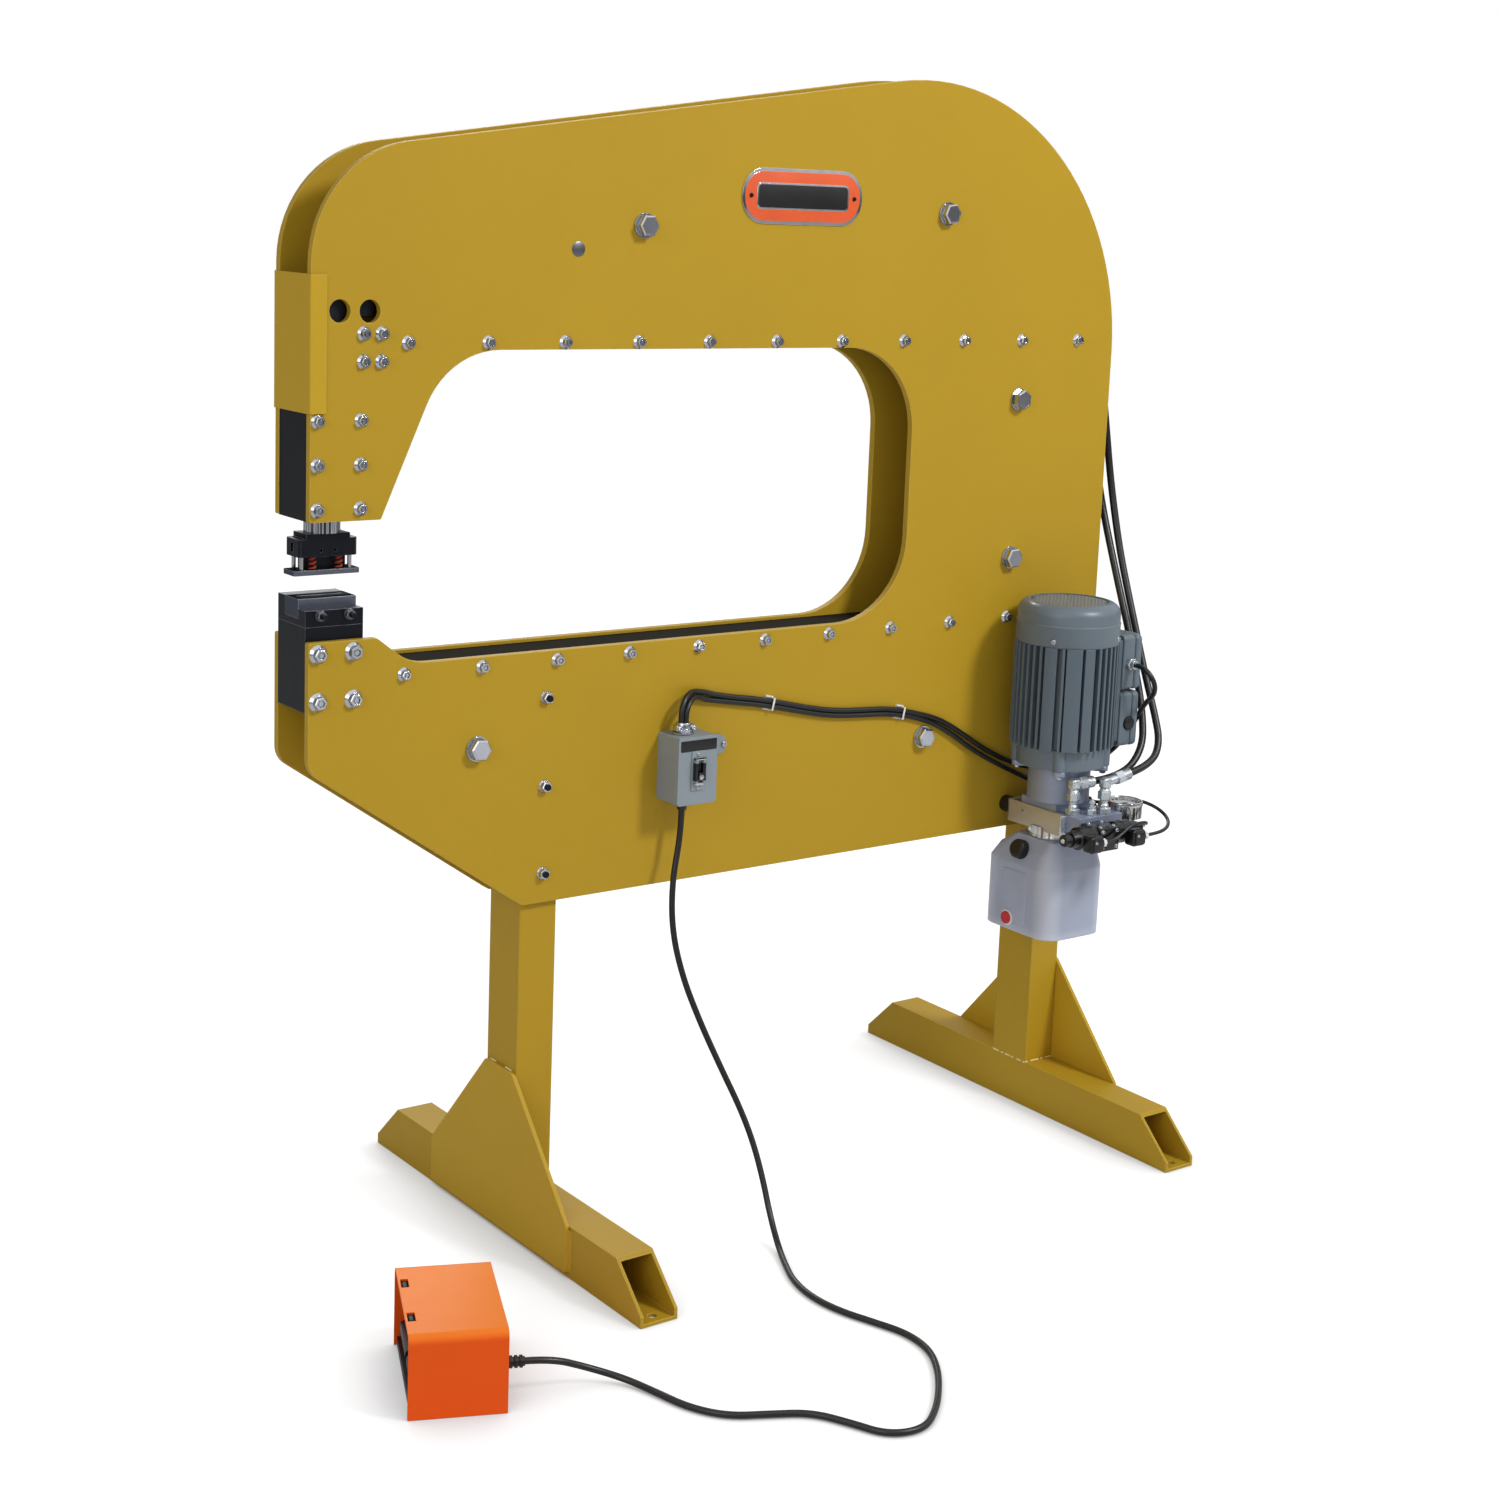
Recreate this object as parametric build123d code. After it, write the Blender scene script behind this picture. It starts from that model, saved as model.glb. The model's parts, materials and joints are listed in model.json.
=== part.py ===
import math
import os

from build123d import *

os.makedirs("parts", exist_ok=True)

# Sizes in millimetres. X runs from the tool end (minus) to the power unit (plus), Y from the operator's side
# (minus) to the far side, Z up. The origin is on the floor, midway between the four anchor holes.

# Side plates
plate_gap = 85.0
plate_t = 11.0
front_x = -912.0
rear_x = 588.0
plate_bottom_z = 531.0
bottom_front_x = -563.0
lower_front_z = 772.5
jaw_top_z = 955.0
jaw_l = 104.0
throat_low_set = 157.5
throat_bottom_z = 914.0
throat_rear_x = 150.0
throat_top_z = 1354.5
throat_high_set = 210.3
head_l = 108.0
head_bottom_z = 1121.5
top_front_z = 1615.8
top_slope = 0.1517
nose_r = 170.0
back_r = 430.0
throat_rear_r = 135.0
throat_front_r = 127.0
jaw_r = 80.0
belly_r = 35.0
plate_edge_r = 3.0
plate_rear_r = 20.0
plate_bottom_r = 12.0
jaw_rear_r = 8.0
access_hole_r = 16.0
access_hole_z = 1408.0
access_hole_sets = (43.0, 88.0)

# Throat bars and the screws that hold them
bar_t = 20.0
bar_set_back = 134.0
bar_rear_x = 520.0
lower_bar_drop = 5.0
upper_bar_rise = 0.5
screw_count = 11
screw_set_back = 148.0
screw_rear_x = 506.0
screw_r = 8.6
screw_head_h = 9.0
guide_screw_dx = (-33.0, 32.0)
guide_screw_dz = (16.5, 77.5, 138.0)
saddle_screw_dx = (35.0, 62.4)
saddle_screw_dz = (14.0, 52.0)
jaw_screw_dx = (-30.0, 24.0)
jaw_screw_dz = (36.5, 104.0)
jaw_screw_r = 11.6
jaw_screw_h = 11.0

# Tie bars between the plates, bolted from both sides
tie_places = ((-380, 1534), (202, 1567), (379, 1267), (379, 1001), (205, 709), (-644, 779))
tie_bar_r = 16.0
tie_head_r = 17.0
tie_head_h = 13.0
tie_washer_r = 19.0
tie_washer_t = 3.0
tie_washer_sides = 12

# Head
ram_set_back = 45.0
ram_r = 25.4
guide_back = 44.0
guide_h = 170.0
bush_wall = 6.0
bush_h = 60.0
run_clear = 0.05
bore_relief = 1.2
gland_h = 14.0
barrel_r = 38.0
barrel_wall = 6.0
barrel_h = 100.0
cap_half_x = 38.0
cap_half_y = 40.0
cap_h = 58.0
cap_roof = 20.0
piston_h = 30.0
piston_drop = 16.0
seat_clear = 0.05
saddle_front = 19.0
saddle_back = 77.0
saddle_drop = 67.0
saddle_h = 65.0
cover_t = 2.0
cover_flange = 23.0
cover_bottom_z = 1269.5
cover_h = 187.5
guide_front_gap = 1.0

# Tooling
die_block_back = 43.0
die_block_h = 120.0
die_block_rise = 20.0
holder_floor = 9.5
punch_holder_half_x = 45.0
die_half_y = 20.5
die_t = 27.0
die_side_clear = 0.05
near_jaw_drop = 13.5
die_slot_half_x = 37.0
die_slot_half_y = 6.0
clamp_offset = 22.0
clamp_r = 4.0
clamp_head_r = 7.0
clamp_head_h = 6.0
clamp_up = 15.0
open_gap = 31.5
stripper_t = 7.0
stripper_half_x = 50.0
stripper_half_y = 17.5
stripper_corner_r = 3.0
spring_gap = 19.0
punch_holder_half_y = 20.5
punch_holder_h = 25.0
punch_boss_h = 7.0
punch_boss_half_x = 33.0
punch_holder_cut = 4.0
end_slot_d = 4.0
end_slot_w = 9.0
end_slot_h = 13.0
holder_hole_x = 11.0
holder_hole_r = 2.4
holder_hole_d = 5.0
holder_hole_drop = 4.0
punch_half_x = 34.0
punch_half_y = 4.0
punch_seat = 12.0
punch_side_clear = 0.3
punch_proud = 1.0
punch_nose_r = 2.5
pin_r = 3.0
pin_x = 36.5
tool_row_y = 12.0
pin_over = 26.0
spring_x = 20.0
spring_r = 4.6
spring_wire = 2.0
spring_turns = 4
spring_sides = 8
spring_end_room = 1.5
spring_pocket = 8.0
spring_pocket_clear = 0.8
spring_end_gap = 0.3

# Posts, feet and gussets
post_x = 528.0
post_w = 63.0
post_wall = 5.0
post_top_z = 872.0
foot_h = 80.5
foot_half = 396.0
foot_top_half = 328.0
foot_lip = 16.0
foot_wall = 5.0
anchor_inset = 18.0
anchor_r = 7.0
gusset_t = 6.0
gusset_half = 203.0
gusset_top_half = 38.0
gusset_low_z = 8.0
gusset_top_z = 265.0
gusset_low_r = 4.0
gusset_mid_r = 10.0
gusset_top_r = 12.0
post_screw_r = 9.0
post_screw_h = 10.0
post_screw_zs = (844.0, 709.5, 576.0)

# Power unit
pump_x = 432.0
pump_y = -150.0
block_bottom_z = 556.0
block_h = 44.0
block_half_x = 40.0
block_front = 38.0
block_back = 46.0
neck_r = 46.0
neck_h = 21.0
spigot_r = 40.0
spigot_h = 14.0
spigot_clear = 0.3
adapter_r = 52.5
adapter_h = 62.0
adapter_bore = 34.0
bell_r = 75.0
bell_h = 35.0
bell_ear_r = 11.0
bell_ear_at = 72.0
bell_ear_angles = (45, 135, 225, 315)
motor_core_r = 74.0
motor_fin_r = 88.0
motor_h = 169.0
motor_bore = 54.0
motor_roof = 16.0
fin_count = 36
fin_w = 4.5
fin_root = 4.0
lug_angles = (180, 225, 270, 315)
lug_w = 24.0
pad_half = 40.0
pad_reach = 92.0
fan_cover_r = 86.0
fan_cover_t = 2.0
fan_cover_h = 74.0
fan_shoulder_r = 18.0
fan_shoulder_cut = 5.4
grille_ring_rs = (24.0, 48.0)
grille_counts = (8, 16)
grille_slot_l = 16.0
grille_slot_w = 5.0
shaft_r = 12.0
rotor_r = 51.0
rotor_gap = 14.0
shaft_top_gap = 20.0
shaft_tip_r = 8.0
shaft_tip_l = 18.0
fan_hub_r = 18.0
fan_r = 72.0
fan_disc_t = 4.0
fan_h = 26.0
fan_blades = 7
fan_blade_t = 3.0
fan_under = 8.0
fan_hub_clear = 0.02
fan_blade_gap = 2.0
box_half_y = 43.0
box_reach = 42.0
box_h = 94.0
box_split = 4.0
box_low_z = 686.0
box_corner_r = 7.0
mount_r = 14.0
mount_h = 22.0
mount_half_x = 30.0
bracket_t = 4.0
bracket_h = 30.0
bracket_nose = 42.0
bracket_nose_rise = 8.0
bracket_rise = 1.0
bracket_set_back = 2.0
tank_half_x = 68.0
tank_back_y = -46.0
tank_front_y = -214.0
tank_h = 165.0
tank_wall = 4.0
tank_corner_r = 34.0
tank_step_corner_r = 28.0
tank_neck_corner_r = 16.0
tank_step_h = 25.0
tank_step_in = 8.0
tank_step_front = 6.0
tank_step_back = 18.0
tank_shoulder_h = 48.0
tank_shoulder_in = 18.0
tank_shoulder_front = 14.0
tank_shoulder_back = 56.0
cap_r = 16.5
cap_height = 16.0
cap_plug_r = 9.0
cap_plug_l = 6.0
cap_y = -134.0
cap_gap = 0.3
cap_stand = 0.4
plug_r = 11.0
plug_head_h = 6.0
plug_shank_r = 6.0
plug_y = -116.0
plug_up = 20.0

# Valve group
manifold_front_y = -246.0
manifold_rear_x = 548.0
manifold_step_x = 490.0
manifold_h = 32.0
manifold_step_h = 5.0
valve_l = 46.0
valve_w = 46.0
valve_h = 48.0
valve_x = 418.0
valve_z = 566.0
coil_l = 50.0
coil_w = 38.0
coil_r = 12.0
coil_nut_r = 10.0
coil_nut_l = 16.0
plug_box_w = 28.0
plug_box_d = 24.0
plug_box_drop = 3.0
plug_boss_r = 6.0
plug_boss_l = 12.0
gauge_x = 522.0
gauge_y = -218.0
gauge_r = 31.0
gauge_h = 27.0
gauge_wall = 2.0
gauge_dial_drop = 7.0
gauge_stem_r = 8.0
gauge_stem_h = 11.0
needle_r = 22.0
needle_t = 1.0
needle_post_r = 1.5
needle_post_clear = 0.05
needle_lift = 1.5
needle_tip = 0.6
needle_tail = 8.0
needle_tail_w = 2.0
needle_post_deep = 5.5
needle_post_top = 0.8
elbow_r = 9.5
elbow_hex_h = 14.0
ferrule_r = 11.0
elbow_z = 640.0
elbow_1 = (405.0, -214.5)
elbow_2 = (460.0, -232.0)
elbow_1_run = 42.0
elbow_2_run = 55.6
elbow_2_tilt = 10.0
port_y = 20.0
port_z = 1420.0
port_l = 39.0
port_hex = 12.0
port_hex_l = 14.0
port_end_r = 9.0

# Switch box
switch_x = -291.0
switch_z = 719.0
switch_w = 72.0
switch_h = 106.0
switch_d = 52.5
switch_wall = 2.5
switch_cover_t = 4.0
switch_corner_r = 5.0
ear_r = 16.0
ear_out = 39.0
ear_t = 4.0
ear_up = 22.0
gland_x = -300.5
gland_y = -82.0
gland_r = 14.0
gland_len = 18.0
gland_nut_r = 11.2
gland_hex_h = 7.2
gland_wire = 4.5
bush_gland_x = -300.0
bush_gland_y = -84.0
bush_gland_r = 9.0
bush_gland_len = 12.0
motor_gland_x = 540.0
motor_gland_z = 829.0
motor_gland_r = 11.0
motor_gland_len = 13.0
motor_gland_nut_r = 8.8
motor_gland_hex_h = 7.8
toggle_r = 4.0
toggle_stem_r = 3.2
toggle_l = 22.0
toggle_ball_r = 6.0
toggle_tilt = 20.0
toggle_slot_half = 11.0
toggle_slot_half_x = 5.0
toggle_rail = 4.0
toggle_rail_h = 9.0
toggle_rail_over = 6.0
toggle_back = 14.0
toggle_clear = 0.3
pivot_r = 2.5
pivot_over = 3.0

# Cords
hose_d = 12.7
hose_straight = 70.0
hose_head_x = -720.0
cable_d = 8.0
lead_d = 6.0
pedal_cord_d = 9.5
clip_places = ((-120.0, 797.1, 12.1), (150.0, 756.3, 11.2))
clip_w = 12.0
clip_h = 28.0
clip_d = 11.0
clip_tab = 16.0
clip_bore = 5.2
clip_bore_y = 5.0
clip_tab_t = 3.0
clip_row = 4.2
sleeve_r = 7.5
sleeve_l = 24.0
sleeve_at = (507.0, -126.0, 585.0)
sleeve_wire = 3.2
cord_gap = 0.25

# Foot switch, turned about Z
pedal_at = (-855.0, -375.0)
pedal_turn = -23.3
guard_d = 131.0
guard_w = 216.0
guard_h = 116.0
guard_t = 3.0
guard_bend_r = 12.0
guard_slot_l = 25.0
guard_slot_w = 10.5
guard_slot_x = -57.0
guard_slot_y = 50.0
base_t = 12.0
base_clear = 0.5
base_front_gap = 4.0
rear_block_d = 40.0
rear_block_h = 26.0
hinge_u = 14.0
hinge_z = 42.0
hinge_r = 4.0
hinge_end = 8.0
cheek_front = 6.0
cheek_back = 16.0
cheek_over = 8.0
hub_room = 1.0
treadle_front = 54.0
treadle_t = 7.0
treadle_hub_r = 8.0
treadle_side = 3.0
rib_count = 6
rib_first = 6.0
rib_pitch = 9.0
rib_end = 4.0
rib_w = 3.0
rib_h = 1.6
relief_v = -58.0
relief_z = 46.0
relief_r = 8.5
relief_neck_r = 6.5
relief_l = 27.7
relief_rings = 4
relief_ring_l = 3.8
relief_sides = 12

# Places that follow from the sizes above
half_gap = plate_gap / 2
face_y = half_gap + plate_t
jaw_rear_x = front_x + jaw_l
throat_low_front_x = front_x + throat_low_set
throat_high_front_x = front_x + throat_high_set
head_rear_x = front_x + head_l
bar_front_x = front_x + bar_set_back
screw_front_x = front_x + screw_set_back
screw_pitch = (screw_rear_x - screw_front_x) / (screw_count - 1)
ram_x = front_x + ram_set_back
die_block_top = jaw_top_z + die_block_rise
die_seat_z = die_block_top + holder_floor
die_top = die_seat_z + die_t
stripper_z = die_top + open_gap
stripper_top = stripper_z + stripper_t
holder_z = stripper_top + spring_gap
holder_top = holder_z + punch_holder_h
ram_low_z = holder_top + punch_boss_h
guide_top = head_bottom_z + guide_h
barrel_top = guide_top + barrel_h
cap_top = barrel_top + cap_h
piston_top = cap_top - cap_roof - piston_drop
barrel_bore = barrel_r - barrel_wall
block_top = block_bottom_z + block_h
adapter_top = block_top + adapter_h
bell_top = adapter_top + bell_h
motor_top = bell_top + motor_h
fan_cover_top = motor_top + fan_cover_h
tank_top = block_bottom_z - neck_h
tank_bottom = tank_top - tank_h
block_front_y = pump_y - block_front
block_back_y = pump_y + block_back
arm_x = pump_x - block_half_x
manifold_bottom_z = block_bottom_z
manifold_top = manifold_bottom_z + manifold_h
pad_x = pump_x + pad_reach
spring_od = spring_r + spring_wire / 2


def block(x0, x1, y0, y1, z0, z1):
    return Pos((x0 + x1) / 2, (y0 + y1) / 2, (z0 + z1) / 2) * Box(x1 - x0, y1 - y0, z1 - z0)


def rod_x(x0, x1, y, z, r):
    return Pos((x0 + x1) / 2, y, z) * Rot(0, 90, 0) * Cylinder(r, x1 - x0)


def rod_y(x, y0, y1, z, r):
    return Pos(x, (y0 + y1) / 2, z) * Rot(90, 0, 0) * Cylinder(r, y1 - y0)


def rod_z(x, y, z0, z1, r):
    return Pos(x, y, (z0 + z1) / 2) * Cylinder(r, z1 - z0)


def prism_x(x0, x1, y, z, r, sides=6):
    flat = Plane(origin=(x0, y, z), x_dir=(0, 1, 0), z_dir=(1, 0, 0)) * RegularPolygon(r, sides)
    return extrude(flat, x1 - x0)


def prism_y(x, y0, y1, z, r, sides=6):
    flat = Plane(origin=(x, y0, z), x_dir=(1, 0, 0), z_dir=(0, 1, 0)) * RegularPolygon(r, sides)
    return extrude(flat, y1 - y0)


def prism_z(x, y, z0, z1, r, sides=6):
    return Pos(x, y, z0) * extrude(RegularPolygon(r, sides), z1 - z0)


def slab(face, y0, y1):
    plane = Plane(origin=(0, y1, 0), x_dir=(1, 0, 0), z_dir=(0, -1, 0))
    return extrude(plane * face, y1 - y0)


def group(pieces):
    return Compound([solid for piece in pieces for solid in piece.solids()])


# Side plates
def side_plate(y0):
    def top_z(x):
        return top_front_z + top_slope * (x - front_x)

    corners = [
        ((front_x, head_bottom_z), plate_edge_r),
        ((front_x, top_z(front_x)), nose_r),
        ((rear_x, top_z(rear_x)), back_r),
        ((rear_x, plate_bottom_z), plate_rear_r),
        ((bottom_front_x, plate_bottom_z), plate_bottom_r),
        ((front_x, lower_front_z), belly_r),
        ((front_x, jaw_top_z), plate_edge_r),
        ((jaw_rear_x, jaw_top_z), jaw_rear_r),
        ((throat_low_front_x, throat_bottom_z), jaw_r),
        ((throat_rear_x, throat_bottom_z), throat_rear_r),
        ((throat_rear_x, throat_top_z), throat_rear_r),
        ((throat_high_front_x, throat_top_z), throat_front_r),
        ((head_rear_x, head_bottom_z), plate_edge_r),
    ]
    points = [corner for corner, radius in corners]
    radii = [radius for corner, radius in corners]
    plate = slab(make_face(FilletPolyline(*points, radius=radii, close=True)), y0, y0 + plate_t)
    for set_back in access_hole_sets:
        x = front_x + set_back
        plate -= rod_y(x, y0 - 1, y0 + plate_t + 1, access_hole_z, access_hole_r)
    return plate


near_side_plate = side_plate(-face_y)
far_side_plate = side_plate(half_gap)

upper_bar_z = throat_top_z + upper_bar_rise
lower_bar_z = throat_bottom_z - lower_bar_drop - bar_t
throat_bars = group(
    block(bar_front_x, bar_rear_x, -half_gap, half_gap, z, z + bar_t) for z in (upper_bar_z, lower_bar_z)
)

ties = []
heads = []
for x, z in tie_places:
    ties.append(prism_y(x, -half_gap, half_gap, z, tie_bar_r))
    washer_y = face_y + tie_washer_t
    head_y = washer_y + tie_head_h
    for near, mid, far in ((-face_y, -washer_y, -head_y), (face_y, washer_y, head_y)):
        washer = prism_y(x, min(near, mid), max(near, mid), z, tie_washer_r, tie_washer_sides)
        heads.append(washer + prism_y(x, min(mid, far), max(mid, far), z, tie_head_r))
tie_bars = group(ties)
tie_bolts = group(heads)

# Screws seen on both plates: throat bars, guide block, saddle, die block and posts
screw_places = [
    (screw_front_x + screw_pitch * i, z + bar_t / 2)
    for z in (upper_bar_z, lower_bar_z)
    for i in range(screw_count)
]
screw_places += [(ram_x + dx, head_bottom_z + dz) for dx in guide_screw_dx for dz in guide_screw_dz]
screw_places += [(ram_x + dx, barrel_top - dz) for dx in saddle_screw_dx for dz in saddle_screw_dz]
jaw_places = [(ram_x + dx, die_block_top - dz) for dx in jaw_screw_dx for dz in jaw_screw_dz]
post_places = [(x, z) for x in (-post_x, post_x) for z in post_screw_zs]
screws = []
for places, r, h in (
    (screw_places, screw_r, screw_head_h),
    (jaw_places, jaw_screw_r, jaw_screw_h),
    (post_places, post_screw_r, post_screw_h),
):
    for x, z in places:
        screws.append(prism_y(x, -face_y - h, -face_y, z, r))
        screws.append(prism_y(x, face_y, face_y + h, z, r))
plate_screws = group(screws)

# Bent sheet over the front of the head
cover_out = face_y + cover_t
cover_shell = block(
    front_x - cover_t, front_x + cover_flange, -cover_out, cover_out, cover_bottom_z, cover_bottom_z + cover_h
)
cover_room = block(
    front_x, front_x + cover_flange + 1, -face_y, face_y, cover_bottom_z - 1, cover_bottom_z + cover_h + 1
)
cover_edges = cover_shell.edges().filter_by(Axis.Z).sort_by(Axis.X)[:2]
head_cover = fillet(cover_edges, cover_t * 0.9) - cover_room

# Guide block, bush, cylinder and its saddle
bush_r = ram_r + bush_wall
guide_front = front_x + guide_front_gap
guide_block = block(guide_front, ram_x + guide_back, -half_gap, half_gap, head_bottom_z, guide_top)
guide_block -= rod_z(ram_x, 0, head_bottom_z - 1, guide_top + 1, ram_r + bore_relief)
guide_block -= rod_z(ram_x, 0, head_bottom_z - 1, head_bottom_z + bush_h, bush_r)
ram_bush = rod_z(ram_x, 0, head_bottom_z, head_bottom_z + bush_h, bush_r)
ram_bush -= rod_z(ram_x, 0, head_bottom_z - 1, head_bottom_z + bush_h + 1, ram_r + run_clear)

cylinder_barrel = rod_z(ram_x, 0, guide_top, barrel_top, barrel_r)
cylinder_barrel += block(
    ram_x - cap_half_x, ram_x + cap_half_x, -cap_half_y, cap_half_y, barrel_top, cap_top
)
cylinder_barrel -= rod_z(ram_x, 0, guide_top + gland_h, cap_top - cap_roof, barrel_bore)
cylinder_barrel -= rod_z(ram_x, 0, guide_top - 1, guide_top + gland_h + 1, ram_r + run_clear)
saddle_z = barrel_top - saddle_drop
cylinder_saddle = block(
    ram_x + saddle_front, ram_x + saddle_back, -half_gap, half_gap, saddle_z, saddle_z + saddle_h
)
cylinder_saddle -= rod_z(ram_x, 0, saddle_z - 1, saddle_z + saddle_h + 1, barrel_r + seat_clear)

ram = rod_z(ram_x, 0, ram_low_z, piston_top, ram_r)
ram += rod_z(ram_x, 0, piston_top - piston_h, piston_top, barrel_bore - run_clear)

# Lower tooling
die_back_x = ram_x + die_block_back
die_block = block(
    front_x, die_back_x, -half_gap, half_gap, die_block_top - die_block_h, die_block_top
)
die_holder = block(front_x, die_back_x, -half_gap, half_gap, die_block_top, die_top)
die_room = die_half_y + die_side_clear
die_holder -= block(front_x - 1, die_back_x + 1, -die_room, die_room, die_seat_z, die_top + 1)
near_jaw_z = die_top - near_jaw_drop
die_holder -= block(front_x - 1, die_back_x + 1, -half_gap - 1, -die_room + 1, near_jaw_z, die_top + 1)
clamp_z = die_block_top + clamp_up
clamps = []
for x in (ram_x - clamp_offset, ram_x + clamp_offset):
    clamp = rod_y(x, -half_gap, -die_half_y, clamp_z, clamp_r)
    clamps.append(clamp + prism_y(x, -half_gap - clamp_head_h, -half_gap, clamp_z, clamp_head_r))
    die_holder -= rod_y(x, -half_gap - 1, -die_room + 1, clamp_z, clamp_r + seat_clear)
die_clamp_screws = group(clamps)
louver_die = block(front_x, die_back_x, -die_half_y, die_half_y, die_seat_z, die_top)
die_slot = Pos(ram_x, 0, die_seat_z - 1) * extrude(
    RectangleRounded(2 * die_slot_half_x, 2 * die_slot_half_y, die_slot_half_y * 0.9), die_t + 2
)
louver_die -= die_slot

# Upper tooling: punch holder on the ram, stripper plate hung on pins and springs
punch_holder = block(
    ram_x - punch_holder_half_x, ram_x + punch_holder_half_x, -punch_holder_half_y, punch_holder_half_y,
    holder_z, holder_top
)
punch_holder = chamfer(punch_holder.edges().filter_by(Axis.Z), punch_holder_cut)
punch_holder += block(
    ram_x - punch_boss_half_x,
    ram_x + punch_boss_half_x,
    -punch_holder_half_y,
    punch_holder_half_y,
    holder_top,
    ram_low_z,
)
punch_holder -= block(
    ram_x - punch_half_x, ram_x + punch_half_x, -punch_half_y, punch_half_y,
    holder_z - 1, holder_z + punch_seat
)
slot_mid_z = holder_z + punch_holder_h / 2
for side in (-1, 1):
    end_x = ram_x + side * punch_holder_half_x
    punch_holder -= Pos(end_x, 0, slot_mid_z) * Box(2 * end_slot_d, end_slot_w, end_slot_h)
    hole_x = ram_x + side * holder_hole_x
    hole_end = holder_hole_d - punch_holder_half_y
    hole_z = slot_mid_z - holder_hole_drop
    punch_holder -= rod_y(hole_x, -punch_holder_half_y - 1, hole_end, hole_z, holder_hole_r)
punch_low_z = stripper_z + punch_proud
louver_punch = block(
    ram_x - punch_half_x, ram_x + punch_half_x, -punch_half_y, punch_half_y,
    punch_low_z, holder_z + punch_seat
)
nose_edges = louver_punch.edges().filter_by(Axis.X).sort_by(Axis.Z)[:2].sort_by(Axis.Y)[-1:]
louver_punch = fillet(nose_edges, punch_nose_r)
slot_x = punch_half_x + punch_side_clear
slot_y = punch_half_y + punch_side_clear
stripper_plate = block(
    ram_x - stripper_half_x, ram_x + stripper_half_x, -stripper_half_y, stripper_half_y,
    stripper_z, stripper_top
)
stripper_plate = fillet(stripper_plate.edges().filter_by(Axis.Z), stripper_corner_r)
stripper_plate -= block(ram_x - slot_x, ram_x + slot_x, -slot_y, slot_y, stripper_z - 1, stripper_top + 1)

pins = []
for dx in (-pin_x, pin_x):
    for dy in (-tool_row_y, tool_row_y):
        pins.append(rod_z(ram_x + dx, dy, stripper_top, stripper_top + pin_over, pin_r))
        punch_holder -= rod_z(ram_x + dx, dy, holder_z - 1, holder_top + 1, pin_r + run_clear)
stripper_pins = group(pins)


def spring(x, y, z0, z1):
    count = spring_turns * spring_sides
    rise = z1 - z0 - 2 * spring_end_room
    points = []
    for i in range(count + 1):
        a = 2 * math.pi * i / spring_sides
        z = z0 + spring_end_room + rise * i / count
        points.append((x + spring_r * math.cos(a), y + spring_r * math.sin(a), z))
    path = Polyline(*points)
    start = Plane(origin=path @ 0, x_dir=(1, 0, 0), z_dir=path % 0)
    wire = start * Rectangle(spring_wire, spring_wire)
    return sweep(wire, path=path, transition=Transition.RIGHT, clean=False)


springs = []
spring_low = stripper_top + spring_end_gap
spring_high = holder_z + spring_pocket
pocket_r = spring_od + spring_pocket_clear
for dx in (-spring_x, spring_x):
    for dy in (-tool_row_y, tool_row_y):
        springs.append(spring(ram_x + dx, dy, spring_low, spring_high - spring_end_gap))
        punch_holder -= rod_z(ram_x + dx, dy, holder_z - 1, spring_high, pocket_r)
stripper_springs = group(springs)
coil_gap = (spring_high - spring_low - 2 * spring_end_room) / spring_turns - spring_wire
print("spring: least gap between turns", round(coil_gap, 2))

# Posts, feet and gussets
posts_made = []
feet_made = []
anchor_half_y = foot_half - anchor_inset
gussets_made = []
for side in (-1, 1):
    x = side * post_x
    half = post_w / 2
    post = block(x - half, x + half, -half_gap, half_gap, foot_h, post_top_z)
    inner_x = half - post_wall
    inner_y = half_gap - post_wall
    posts_made.append(post - block(x - inner_x, x + inner_x, -inner_y, inner_y, foot_h - 1, post_top_z + 1))
    foot_side = make_face(
        Polyline(
            (-foot_half, 0),
            (foot_half, 0),
            (foot_half, foot_lip),
            (foot_top_half, foot_h),
            (-foot_top_half, foot_h),
            (-foot_half, foot_lip),
            close=True,
        )
    )
    along = Plane(origin=(x - half, 0, 0), x_dir=(0, 1, 0), z_dir=(1, 0, 0))
    foot = extrude(along * foot_side, post_w)
    room = half - foot_wall
    foot -= block(x - room, x + room, -foot_half - 1, foot_half + 1, foot_wall, foot_h - foot_wall)
    for y in (-anchor_half_y, anchor_half_y):
        foot -= rod_z(x, y, -1, foot_wall + 1, anchor_r)
    feet_made.append(foot)
    gusset_side = make_face(
        FilletPolyline(
            (-gusset_half, gusset_low_z),
            (gusset_half, gusset_low_z),
            (gusset_half, foot_h),
            (gusset_top_half, gusset_top_z),
            (-gusset_top_half, gusset_top_z),
            (-gusset_half, foot_h),
            radius=[gusset_low_r, gusset_low_r, gusset_mid_r, gusset_top_r, gusset_top_r, gusset_mid_r],
            close=True,
        )
    )
    gusset_x = x + half if side > 0 else x - half - gusset_t
    gusset_plane = Plane(origin=(gusset_x, 0, 0), x_dir=(0, 1, 0), z_dir=(1, 0, 0))
    gussets_made.append(extrude(gusset_plane * gusset_side, gusset_t))
posts = group(posts_made)
feet = group(feet_made)
gussets = group(gussets_made)

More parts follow.
